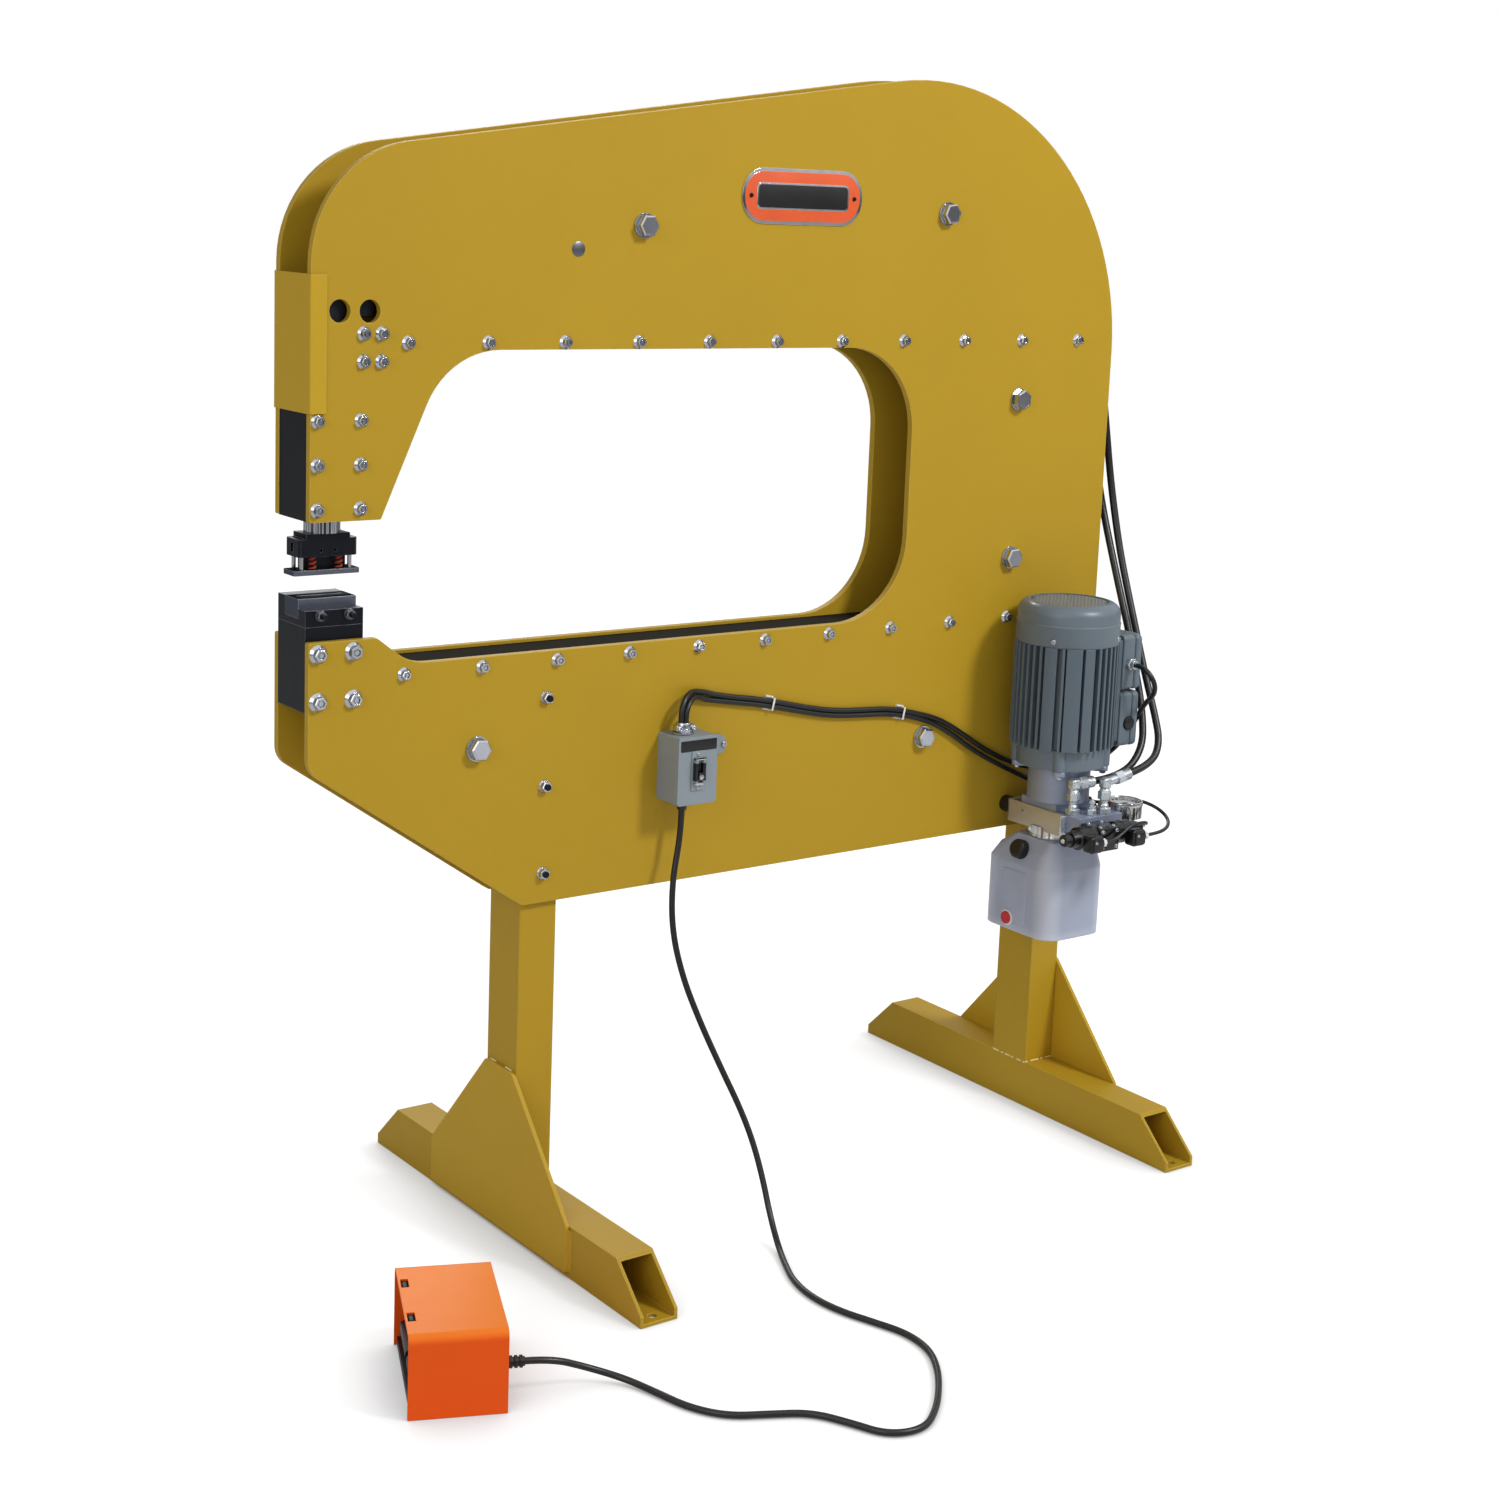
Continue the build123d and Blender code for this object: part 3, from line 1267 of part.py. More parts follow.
relief_part = prism_x(0, relief_l, 0, 0, relief_neck_r, relief_sides)
for i in range(relief_rings):
    u = i * relief_l / relief_rings
    relief_part += prism_x(u, u + relief_ring_l, 0, 0, relief_r, relief_sides)
strain_relief = place * Pos(guard_d / 2, relief_v, relief_z) * relief_part

nodes = {
    "near_side_plate": near_side_plate,
    "far_side_plate": far_side_plate,
    "throat_bars": throat_bars,
    "tie_bars": tie_bars,
    "tie_bolts": tie_bolts,
    "plate_screws": plate_screws,
    "head_cover": head_cover,
    "guide_block": guide_block,
    "ram_bush": ram_bush,
    "cylinder_barrel": cylinder_barrel,
    "cylinder_saddle": cylinder_saddle,
    "ram": ram,
    "die_block": die_block,
    "die_holder": die_holder,
    "die_clamp_screws": die_clamp_screws,
    "louver_die": louver_die,
    "punch_holder": punch_holder,
    "louver_punch": louver_punch,
    "stripper_plate": stripper_plate,
    "stripper_pins": stripper_pins,
    "stripper_springs": stripper_springs,
    "posts": posts,
    "feet": feet,
    "gussets": gussets,
    "motor_frame": motor_frame,
    "fan_cover": fan_cover,
    "motor_end_bell": motor_end_bell,
    "motor_rotor": motor_rotor,
    "cooling_fan": cooling_fan,
    "terminal_boxes": terminal_boxes,
    "pump_adapter": pump_adapter,
    "pump_block": pump_block,
    "pump_bracket": pump_bracket,
    "rubber_mounts": rubber_mounts,
    "oil_tank": oil_tank,
    "filler_cap": filler_cap,
    "drain_plug": drain_plug,
    "valve_manifold": valve_manifold,
    "valve_body": valve_body,
    "solenoid_coils": solenoid_coils,
    "coil_connectors": coil_connectors,
    "pressure_gauge": pressure_gauge,
    "gauge_needle": gauge_needle,
    "hose_fittings": hose_fittings,
    "switch_box": switch_box,
    "switch_cover": switch_cover,
    "toggle_lever": toggle_lever,
    "cable_glands": cable_glands,
    "cable_clips": cable_clips,
    "control_cables": control_cables,
    "solenoid_leads": solenoid_leads,
    "pressure_hose": pressure_hose,
    "return_hose": return_hose,
    "pedal_guard": pedal_guard,
    "pedal_base": pedal_base,
    "pedal_pin": pedal_pin,
    "left_pedal": left_pedal,
    "right_pedal": right_pedal,
    "strain_relief": strain_relief,
    "pedal_cord": pedal_cord,
}
for name, shape in nodes.items():
    export_step(shape, "parts/" + name + ".step")
print(len(nodes), "nodes written")
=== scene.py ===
import json
import math

import bmesh
import bpy
from mathutils import Matrix, Quaternion, Vector


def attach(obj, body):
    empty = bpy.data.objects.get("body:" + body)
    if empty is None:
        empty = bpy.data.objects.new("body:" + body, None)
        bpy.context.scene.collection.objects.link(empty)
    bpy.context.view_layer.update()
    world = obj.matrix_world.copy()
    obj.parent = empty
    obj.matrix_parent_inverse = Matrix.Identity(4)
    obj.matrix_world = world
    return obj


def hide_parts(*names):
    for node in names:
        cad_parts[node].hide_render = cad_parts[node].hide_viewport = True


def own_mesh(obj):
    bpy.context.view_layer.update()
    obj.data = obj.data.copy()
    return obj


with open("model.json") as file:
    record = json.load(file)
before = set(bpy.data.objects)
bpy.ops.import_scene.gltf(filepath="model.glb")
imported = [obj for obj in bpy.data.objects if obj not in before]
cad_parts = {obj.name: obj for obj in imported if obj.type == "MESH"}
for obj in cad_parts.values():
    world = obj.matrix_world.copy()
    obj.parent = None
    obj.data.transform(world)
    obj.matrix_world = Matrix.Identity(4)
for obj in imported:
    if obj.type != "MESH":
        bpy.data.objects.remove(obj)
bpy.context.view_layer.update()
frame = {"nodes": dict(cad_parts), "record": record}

scene = bpy.context.scene
scene.view_settings.view_transform = "Standard"
cadNodes = frame["nodes"]
mm = 0.001
faceY = 53.5  # outer face of both side plates, mm from the middle
print("frame loaded:", len(cadNodes), "nodes")


# nodes for finishes and for repeated pieces
class Sock:
    def __init__(self, maker, socket):
        self.maker = maker
        self.socket = socket

    def other(self, name):
        return Sock(self.maker, self.socket.node.outputs[name])

    def __add__(self, b):
        return self.maker.maths("ADD", self, b)

    def __radd__(self, b):
        return self.maker.maths("ADD", b, self)

    def __sub__(self, b):
        return self.maker.maths("SUBTRACT", self, b)

    def __rsub__(self, b):
        return self.maker.maths("SUBTRACT", b, self)

    def __mul__(self, b):
        return self.maker.maths("MULTIPLY", self, b)

    def __rmul__(self, b):
        return self.maker.maths("MULTIPLY", b, self)

    def __truediv__(self, b):
        return self.maker.maths("DIVIDE", self, b)

    def __gt__(self, b):
        return self.maker.maths("GREATER_THAN", self, b)


class Maker:
    def __init__(self, tree):
        self.tree = tree

    def node(self, kind, settings=None, inputs=None, out=0):
        made = self.tree.nodes.new(kind)
        for key, value in (settings or {}).items():
            if key == "stops":
                ramp = made.color_ramp
                for i, (at, colour) in enumerate(value):
                    stop = ramp.elements[i] if i < 2 else ramp.elements.new(at)
                    stop.position = at
                    stop.color = colour
            else:
                setattr(made, key, value)
        for key, value in (inputs or {}).items():
            if isinstance(value, Sock):
                self.tree.links.new(value.socket, made.inputs[key])
            else:
                made.inputs[key].default_value = value
        return Sock(self, made.outputs[out]) if len(made.outputs) else made

    def blend(self, factor, a, b):
        return self.node("ShaderNodeMix", {"data_type": "RGBA"}, {0: factor, 6: a, 7: b}, 2)

    def noise(self, coord, scale, detail=2.0, rough=0.5):
        wanted = {"Vector": coord, "Scale": scale, "Detail": detail, "Roughness": rough}
        return self.node("ShaderNodeTexNoise", {}, wanted)

    def stretch(self, coord, scale):
        return self.node("ShaderNodeMapping", {}, {"Vector": coord, "Scale": scale})

    def maths(self, operation, a, b=0.0, clamp=False):
        return self.node("ShaderNodeMath", {"operation": operation, "use_clamp": clamp}, {0: a, 1: b})

    def clamped(self, a, b):
        return self.maths("MULTIPLY", a, b, True)

    def split(self, vector):
        x = self.node("ShaderNodeSeparateXYZ", {}, {"Vector": vector}, "X")
        return x, x.other("Y"), x.other("Z")

    def facing(self):
        return self.node("ShaderNodeNewGeometry", out="Normal")

    def join(self, a, b):
        both = self.node("GeometryNodeJoinGeometry", {}, {0: a})
        self.tree.links.new(b.socket, both.socket.node.inputs[0])
        return both


def tone(r, g, b):
    def straight(v):
        v /= 255
        return v / 12.92 if v < 0.04045 else ((v + 0.055) / 1.055) ** 2.4

    return (straight(r), straight(g), straight(b), 1.0)


def shade(colour, by):
    return tuple(min(1.0, v * by) for v in colour[:3]) + (1.0,)


def startFinish(name):
    material = bpy.data.materials.new(name)
    material.use_nodes = True
    material.node_tree.nodes.clear()
    maker = Maker(material.node_tree)
    maker.material = material
    maker.coord = maker.node("ShaderNodeTexCoord", out="Object")
    return maker


def endFinish(maker, **sockets):
    wanted = {key.replace("_", " "): value for key, value in sockets.items()}
    surface = maker.node("ShaderNodeBsdfPrincipled", {}, wanted)
    maker.node("ShaderNodeOutputMaterial", {}, {"Surface": surface})
    return maker.material


# softEdge returns the bevelled normal and a mask of edges, which the finishes use for a painted highlight
def softEdge(maker, radius):
    rounded = maker.node("ShaderNodeBevel", {"samples": 4}, {"Radius": radius})
    inputs = {0: rounded, 1: maker.facing()}
    same = maker.node("ShaderNodeVectorMath", {"operation": "DOT_PRODUCT"}, inputs, "Value")
    return rounded, maker.clamped(1 - same, 5.0)


def bump(maker, height, distance, normal):
    wanted = {"Height": height, "Distance": distance, "Strength": 1.0, "Normal": normal}
    return maker.node("ShaderNodeBump", {}, wanted)


grain = {"paintCloud": 3.0, "paintSpeck": 420.0, "paintRub": 26.0, "brushed": 260.0, "mouldCloud": 22.0}


def enamel(name, colour, rough=0.4, peel=0.00004, edge=0.0012, lift=0.35, gloss=0.4, paintedTopLight=None, rim=None):
    m = startFinish(name)
    rounded, highlightMask = softEdge(m, edge)
    cloud = m.noise(m.coord, grain["paintCloud"], 4.0)
    speck = m.noise(m.coord, grain["paintSpeck"])
    rub = m.noise(m.coord, grain["paintRub"], 5.0, 0.65)
    base = m.blend(cloud, shade(colour, 0.93), shade(colour, 1.07))
    base = m.blend(speck * 0.16, base, shade(colour, 0.8))
    # painted highlight: edges lightened toward the rim tone
    base = m.blend(highlightMask * lift, base, rim or shade(colour, 1.5))
    if paintedTopLight:  # painted light: upper faces paler
        upward = m.split(m.facing())[2]
        base = m.blend(m.clamped(upward, 0.5 + cloud * 0.6), base, paintedTopLight)
    dull = rough - 0.06 + rub * 0.14
    normal = bump(m, speck, peel, rounded)
    return endFinish(m, Base_Color=base, Roughness=dull, Normal=normal, Specular_IOR_Level=gloss)


def metal(
    name, colour, rough=0.3, streak=(1, 1, 1), edge=0.0004, lift=0.3, scratch=0.000012, dirt=0.12, rim=None,
    patch=38.0, metallic=1.0, paintedTopShade=None, paintedCreaseShade=0.0, graze=1.0,
):
    m = startFinish(name)
    rounded, highlightMask = softEdge(m, edge)
    along = m.stretch(m.coord, streak)
    lines = m.noise(along, grain["brushed"], 3.0)
    cloud = m.noise(along, patch, 4.0)
    base = m.blend(cloud * dirt * 2.0, colour, shade(colour, 0.72))
    if paintedTopShade:  # painted shade: upper faces darker
        base = m.blend(m.split(m.facing())[2], base, paintedTopShade)
    # painted highlight: edges lightened toward the rim tone
    base = m.blend(highlightMask * lift, base, rim or shade(colour, 1.35))
    if paintedCreaseShade:  # painted shade: inner corners darkened by ambient occlusion
        bare = m.node("ShaderNodeAmbientOcclusion", {"samples": 8, "only_local": True}, {"Distance": paintedCreaseShade}, "AO")
        base = m.blend(bare, shade(colour, 0.2), base)
    dull = rough - 0.05 + lines * 0.12
    tint = (graze, graze, graze, 1)
    normal = bump(m, lines, scratch, rounded)
    return endFinish(m, Base_Color=base, Metallic=metallic, Roughness=dull, Normal=normal, Specular_Tint=tint)


# painted reflection: dark and light stripes round an axis, set in the base colour
def reflectionBands(name, centre, dark, light, count=5.0, rough=0.16):
    m = startFinish(name)
    x, y, z = m.split(m.coord)
    angle = m.maths("ARCTAN2", centre[1] - y, centre[0] - x)
    line = m.node("ShaderNodeCombineXYZ", {}, {"X": angle, "Z": z * 0.4})
    wave = m.noise(line, count)
    stops = [(0.4, dark), (0.47, shade(light, 0.6)), (0.53, light), (0.62, shade(dark, 1.6))]
    base = m.node("ShaderNodeValToRGB", {"stops": stops}, {0: wave})
    rounded = m.node("ShaderNodeBevel", {"samples": 4}, {"Radius": 0.0006})
    return endFinish(m, Base_Color=base, Metallic=1.0, Roughness=rough + wave * 0.1, Normal=rounded)


def plastic(name, colour, rough=0.5, pits=0.00003, scale=900.0, edge=0.0006, lift=0.25):
    m = startFinish(name)
    rounded, highlightMask = softEdge(m, edge)
    speck = m.noise(m.coord, scale)
    cloud = m.noise(m.coord, grain["mouldCloud"], 4.0)
    base = m.blend(cloud, shade(colour, 0.9), shade(colour, 1.1))
    # painted highlight: edges lightened
    base = m.blend(highlightMask * lift, base, shade(colour, 1.6))
    normal = bump(m, speck, pits, rounded)
    return endFinish(m, Base_Color=base, Roughness=rough - 0.08 + cloud * 0.16, Normal=normal)


tankShape = {"x": (0.432, 0.068), "y": (-0.130, 0.084), "foot": 0.386}  # middle and half width, metres


def milky(name, warm, cool, pale, rough=0.4):
    m = startFinish(name)
    rounded, highlightMask = softEdge(m, 0.005)
    cloud = m.noise(m.coord, 13.0, 3.0)
    flow = m.noise(m.stretch(m.coord, (1, 1, 0.3)), 46.0, 4.0)
    base = m.blend(cloud * 1.5 - 0.25, warm, cool)
    base = m.blend(flow * 0.3, base, shade(warm, 0.86))
    x, y, z = m.split(m.coord)
    side = m.maths("ABSOLUTE", x - tankShape["x"][0]) / tankShape["x"][1]
    depth = m.maths("ABSOLUTE", y - tankShape["y"][0]) / tankShape["y"][1]
    # painted highlight: paler toward the tank's vertical corners, along its foot and at its edges
    corner = m.clamped(side * depth - 0.5, 2.2)
    foot = m.clamped(tankShape["foot"] - z, 40.0)
    for mask in (corner * 0.7, foot * 0.5, highlightMask * 0.5):
        base = m.blend(mask, base, pale)
    normal = bump(m, flow, 0.00025, rounded)
    depthOfLight = {"Subsurface_Weight": 0.3, "Subsurface_Radius": (0.02, 0.02, 0.022)}
    return endFinish(m, Base_Color=base, Roughness=rough + cloud * 0.1, Normal=normal, **depthOfLight)


paintYellow = {
    "colour": tone(182, 147, 36), "rough": 0.5, "peel": 0.00003, "edge": 0.0022, "lift": 0.8, "gloss": 0.2,
    # rim is the tone of the painted highlight along edges
    "rim": tone(238, 208, 98),
}
# tone of the painted highlight along the edges of bright metal
highlightTone = tone(226, 227, 231)
finish = {
    "yellow_paint": enamel("mustardEnamel", **paintYellow),
    "black_steel": metal("blackOxide", tone(46, 48, 54), 0.44, (1, 1, 0.2), dirt=0.3, lift=0.5),
    "dark_bar": enamel("darkBar", tone(34, 30, 22), 0.9, lift=0.2, gloss=0.05),
    # painted shade: bolt creases darkened
    "zinc": metal("brightZinc", tone(204, 208, 217), 0.17, dirt=0.35, lift=0.5, rim=highlightTone, paintedCreaseShade=0.004),
    "chrome": metal(
        "hardChrome", tone(222, 223, 226), 0.12, (1, 1, 0.03), scratch=0.000004, dirt=0.5, patch=75.0),
    "steel": metal("groundSteel", tone(122, 124, 128), 0.36, (0.08, 1, 1), dirt=0.35, lift=0.6),
    "bronze": metal("bronzeBush", tone(170, 120, 60), 0.35),
    "motor_grey": enamel("motorEnamel", tone(104, 117, 127), 0.36, 0.00008, 0.0010, 0.35, gloss=0.5),
    "cast_aluminium": metal(
        "castAluminium", tone(154, 163, 184), 0.5, dirt=0.3, scratch=0.00005, edge=0.0012, metallic=0.5),
    "tank_white": milky("tankShell", tone(159, 163, 179), tone(172, 183, 207), tone(224, 228, 238)),
    "red_plastic": plastic("redPlug", tone(196, 24, 34), 0.35),
    "black_plastic": plastic("blackMoulding", tone(20, 20, 22), 0.36),
    "black_rubber": plastic("blackRubber", tone(17, 17, 19), 0.38, 0.00003, 1400.0),
    "box_grey": enamel("boxEnamel", tone(138, 149, 156), 0.4, 0.00005, 0.0012, 0.6),
    # painted light: the guard's upper faces paler
    "orange_paint": enamel(
        "guardEnamel", tone(240, 88, 8), 0.42, 0.00003, 0.0012, 0.5, gloss=0.2, paintedTopLight=tone(255, 146, 44)),
    # painted shade: the spring red darkened for the shade the springs sit in
    "spring_red": enamel("springRed", tone(156, 54, 28), 0.4, 0.00002, 0.0003),
    "white_plastic": plastic("whiteClip", tone(226, 226, 224), 0.5),
}
# painted shade: tool steel darker on its upper faces
toolSteel = metal(
    "toolSteel", tone(118, 123, 136), 0.36, (0.06, 1, 1), 0.0007, 0.9, dirt=0.35, rim=highlightTone,
    paintedTopShade=tone(52, 52, 56), graze=0.2)
toolBlack = metal(
    "toolBlack", tone(42, 44, 50), 0.4, (1, 1, 0.3), 0.0007, 0.7, dirt=0.3, rim=tone(176, 179, 184))
caseSteel = reflectionBands("gaugeCase", (0.522, -0.218), tone(70, 68, 66), tone(232, 232, 230), 4.0)
ramChrome = reflectionBands("ramChrome", (-0.867, 0.0), tone(64, 68, 82), tone(236, 238, 242), 5.0, 0.14)
neckReflection = reflectionBands("neckReflection", (0.432, -0.150), tone(112, 106, 100), tone(240, 240, 238), 4.5)
bracketZinc = metal(
    "bracketZinc", tone(190, 181, 158), 0.42, (1, 0.06, 1), 0.0006, 0.6, dirt=0.2, metallic=0.45)
# painted highlight along the fin edges, on a darker copy of the motor paint for painted shade between the fins
finMotor = enamel("finEnamel", tone(89, 102, 112), 0.36, 0.00006, 0.0016, 0.8, gloss=0.5)
fittingZinc = metal(
    "fittingZinc", tone(212, 219, 224), 0.26, dirt=0.3, lift=0.6, rim=highlightTone, metallic=0.8)
grilleGrey = enamel("grilleEnamel", tone(132, 139, 142), 0.4, 0.00004, 0.0006, gloss=0.5)
# painted light: lighter copies of the mustard paint for the gussets, ground corners and head cover
paintedLightYellow = enamel("paintedLightYellow", **{**paintYellow, "colour": tone(194, 157, 38)})
paintedLightCover = enamel("paintedLightCover", **{**paintYellow, "colour": tone(194, 157, 38), "lift": 0.25})
# painted highlight: pale beads for the glints on the welds
weldHighlight = enamel("weldHighlight", tone(240, 224, 158), 0.3, 0.0002, 0.0005, gloss=0.5)
glossBlack = plastic("glossBlack", tone(14, 14, 17), 0.2, 0.00001)
special = {
    "louver_die": toolSteel, "stripper_plate": toolSteel, "louver_punch": toolBlack, "punch_holder": toolBlack,
    "die_holder": toolBlack, "die_block": toolBlack, "pressure_gauge": caseSteel,
    "ram": ramChrome, "head_cover": paintedLightCover, "gussets": paintedLightYellow,
    "posts": enamel("postEnamel", **{**paintYellow, "edge": 0.006, "lift": 0.25}),
}
slotOf = {piece["node"]: piece["material_slot"] for piece in frame["record"]["subparts"]}
for nodeName, cadObject in cadNodes.items():
    cadObject.data.materials.clear()
    cadObject.data.materials.append(special.get(nodeName) or finish[slotOf[nodeName]])
print("finishes made:", len(finish))


# camera at the photograph's place, worked out for a 1500 by 1500 frame
viewpoint = {
    "place": (-2356.7, -3005.0, 1582.8),
    "yaw": 37.1048,
    "pitch": -10.0231,
    "roll": 2.3203,
    "focal": 2399.12,
    "centre": (768.79, 620.98),
    "frame": 1500.0,
    "sensor": 36.0,
    "clip": (0.05, 100.0),  # metres, the place is in millimetres
}


def addCamera(v):
    data = bpy.data.cameras.new("camera")
    camera = bpy.data.objects.new("camera", data)
    scene.collection.objects.link(camera)
    data.sensor_width = v["sensor"]
    data.lens = v["focal"] * v["sensor"] / v["frame"]
    data.shift_x = (v["frame"] / 2 - v["centre"][0]) / v["frame"]
    data.shift_y = (v["centre"][1] - v["frame"] / 2) / v["frame"]
    data.clip_start, data.clip_end = v["clip"]
    yaw, pitch = math.radians(v["yaw"]), math.radians(v["pitch"])
    look = Vector((math.sin(yaw) * math.cos(pitch), math.cos(yaw) * math.cos(pitch), math.sin(pitch)))
    camera.rotation_mode = "QUATERNION"
    roll = Quaternion((0, 0, 1), math.radians(v["roll"]))
    camera.rotation_quaternion = look.to_track_quat("-Z", "Y") @ roll
    camera.location = Vector(v["place"]) * mm
    scene.camera = camera


addCamera(viewpoint)
print("camera set")


# white surroundings and soft lamps
surround = {"ambient": 0.42, "glossLow": 0.08, "glossMid": (0.5, 0.51, 0.53, 1), "glossHigh": 1.0, "patches": 2.3}
lamps = {
    "keyLamp": {"place": (1.6, -3.6, 4.2), "target": (0, 0, 0.9), "size": 1.0, "power": 146},
    "fillLamp": {"place": (-4.2, -2.2, 2.4), "target": (-0.2, 0, 0.9), "size": 2.6, "power": 36},
    "backLamp": {"place": (1.5, 4.0, 3.5), "target": (0, 0, 0.9), "size": 2.5, "power": 60},
}
floorLook = {"half": 12.0, "drop": 0.0006, "albedo": 0.78, "seenAlbedo": 0.30, "glow": 0.90, "reach": 0.16}
white = (1, 1, 1, 1)


def grey(v):
    return (v, v, v, 1)


def seenRay(m):
    path = m.node("ShaderNodeLightPath", out="Is Camera Ray")
    return path, m.maths("MAXIMUM", path, path.other("Is Transmission Ray"))


def addWorld(s):
    world = bpy.data.worlds.new("whiteRoom")
    scene.world = world
    world.use_nodes = True
    world.node_tree.nodes.clear()
    m = Maker(world.node_tree)
    path, seen = seenRay(m)
    aim = m.node("ShaderNodeTexCoord", out="Generated")
    height = m.split(aim)[2]
    low, high = grey(s["glossLow"]), grey(s["glossHigh"])
    stops = [(0.0, low), (0.47, low), (0.6, s["glossMid"]), (0.76, high)]
    room = m.noise(aim, s["patches"], 1.0) * 0.5 - 0.25
    gloss = m.node("ShaderNodeValToRGB", {"stops": stops}, {0: height * 0.5 + 0.5 + room})
    plain = m.node("ShaderNodeBackground", {}, {"Color": white, "Strength": s["ambient"]})
    mirror = m.node("ShaderNodeBackground", {}, {"Color": gloss, "Strength": 1.0})
    backdrop = m.node("ShaderNodeBackground", {}, {"Color": white, "Strength": 1.0})
    lit = m.node("ShaderNodeMixShader", {}, {0: path.other("Is Glossy Ray"), 1: plain, 2: mirror})
    out = m.node("ShaderNodeMixShader", {}, {0: seen, 1: lit, 2: backdrop})
    m.node("ShaderNodeOutputWorld", {}, {"Surface": out})


def addLamp(name, place, target, size, power):
    data = bpy.data.lights.new(name, "AREA")
    data.shape = "DISK"
    data.size = size
    data.energy = power
    lamp = bpy.data.objects.new(name, data)
    scene.collection.objects.link(lamp)
    lamp.location = place
    lamp.rotation_mode = "QUATERNION"
    lamp.rotation_quaternion = (Vector(target) - Vector(place)).to_track_quat("-Z", "Y")


def addFloor(f):
    mesh = bpy.data.meshes.new("floor")
    h, z = f["half"], -f["drop"]
    mesh.from_pydata([(-h, -h, z), (h, -h, z), (h, h, z), (-h, h, z)], [], [(0, 1, 2, 3)])
    floor = bpy.data.objects.new("floor", mesh)
    scene.collection.objects.link(floor)
    m = startFinish("paleFloor")
    seen = seenRay(m)[1]
    plain = m.node("ShaderNodeBsdfDiffuse", {}, {"Color": grey(f["albedo"])})
    soft = m.node("ShaderNodeBsdfDiffuse", {}, {"Color": grey(f["seenAlbedo"])})
    # painted shadow: the floor's glow dims near the object by ambient occlusion
    openness = m.node("ShaderNodeAmbientOcclusion", {"samples": 16}, {"Distance": f["reach"]}, "AO")
    glow = m.node("ShaderNodeEmission", {}, {"Color": white, "Strength": openness * f["glow"]})
    both = m.node("ShaderNodeAddShader", {}, {0: soft, 1: glow})
    out = m.node("ShaderNodeMixShader", {}, {0: seen, 1: plain, 2: both})
    m.node("ShaderNodeOutputMaterial", {}, {"Surface": out})
    mesh.materials.append(m.material)


addWorld(surround)
for lampName, lampLook in lamps.items():
    addLamp(lampName, **lampLook)
addFloor(floorLook)
print("light and floor set")


# cords: the routes of the solids, in millimetres
hoseRoute = [
    (447, -214.5, 640), (517, -214.5, 640), (574.6, -203.1, 679.4), (594, -178, 736.7),
    (602, -148.1, 801.6), (606, -120.6, 868.4), (610, -89, 933.4), (614.5, -57.9, 998.6),
    (620, -26.7, 1063.6), (624, -1, 1130.8), (621.5, 8.6, 1202.2), (610, 16, 1272.7),
    (585.8, 20.2, 1339.9), (534.5, 20.9, 1388.4), (462.6, 19.1, 1390.1), (360.4, 15.6, 1383.3),
    (213.9, 11.9, 1382.2), (67.4, 9.4, 1382), (-79.1, 8.1, 1382), (-225.7, 8.2, 1382),
    (-372.2, 9.4, 1382.2), (-518.6, 12.2, 1385.9), (-620.5, 13.9, 1397.2), (-720, 20, 1420),
    (-790, 20, 1420),
]
returnRoute = [
    (515, -232, 649.7), (566.2, -232, 658.7), (601, -217, 690), (610, -190, 738), (615.5, -158, 795),
    (620, -127, 862), (624, -96, 929), (627, -68, 994), (628.5, -46, 1062), (627.5, -29, 1132),
    (622.5, -19.5, 1203), (607, -18.4, 1285),
    (576, -20.1, 1355.8), (517.8, -20.8, 1392.2), (446.6, -18.5, 1388.6), (345.7, -15.2, 1383),
    (201.2, -11.6, 1382.2), (56.7, -9.2, 1382), (-87.9, -8.1, 1382), (-232.4, -8.2, 1382),
    (-377, -9.5, 1382.2), (-521.4, -12.2, 1386.1), (-621.9, -14, 1397.4), (-720, -20, 1420),
    (-790, -20, 1420),
]
motorCableRoute = [
    (-305, -82, 790), (-305, -82, 803), (-300.7, -79.5, 816.1), (-292.7, -74.9, 825.4),
    (-282.3, -68.8, 830.4), (-270.5, -62.6, 831), (-257, -59.4, 829.5), (-243, -58.6, 826.3),
    (-223.3, -58.5, 820.2), (-184.3, -58.6, 813), (-145.2, -58.5, 806.8), (-90.7, -58.5, 794.7),
    (-36.3, -58.5, 781.5), (19, -58.5, 771.8), (74.9, -58.4, 768.4), (130.7, -58.4, 764.9),
    (184.9, -58.6, 751.9), (236.5, -58.9, 736.8), (286.3, -59, 708.9), (334.3, -59, 677.9),
    (384.8, -60.7, 652.1), (437.2, -67.9, 633.9), (490.8, -81.9, 627), (523.3, -91.8, 629),
    (546, -105, 636.5), (565, -121, 650), (576, -138, 670), (578.5, -156, 694), (578, -172, 717),
    (575.5, -186, 736), (572, -199, 753), (566, -214.5, 767), (559.6, -230.6, 777.8),
    (554.9, -240.7, 789), (550.3, -243.4, 801.4), (545.7, -240.2, 813.7), (542, -231.7, 823.6),
    (540, -219.5, 829), (540, -206, 829),
]
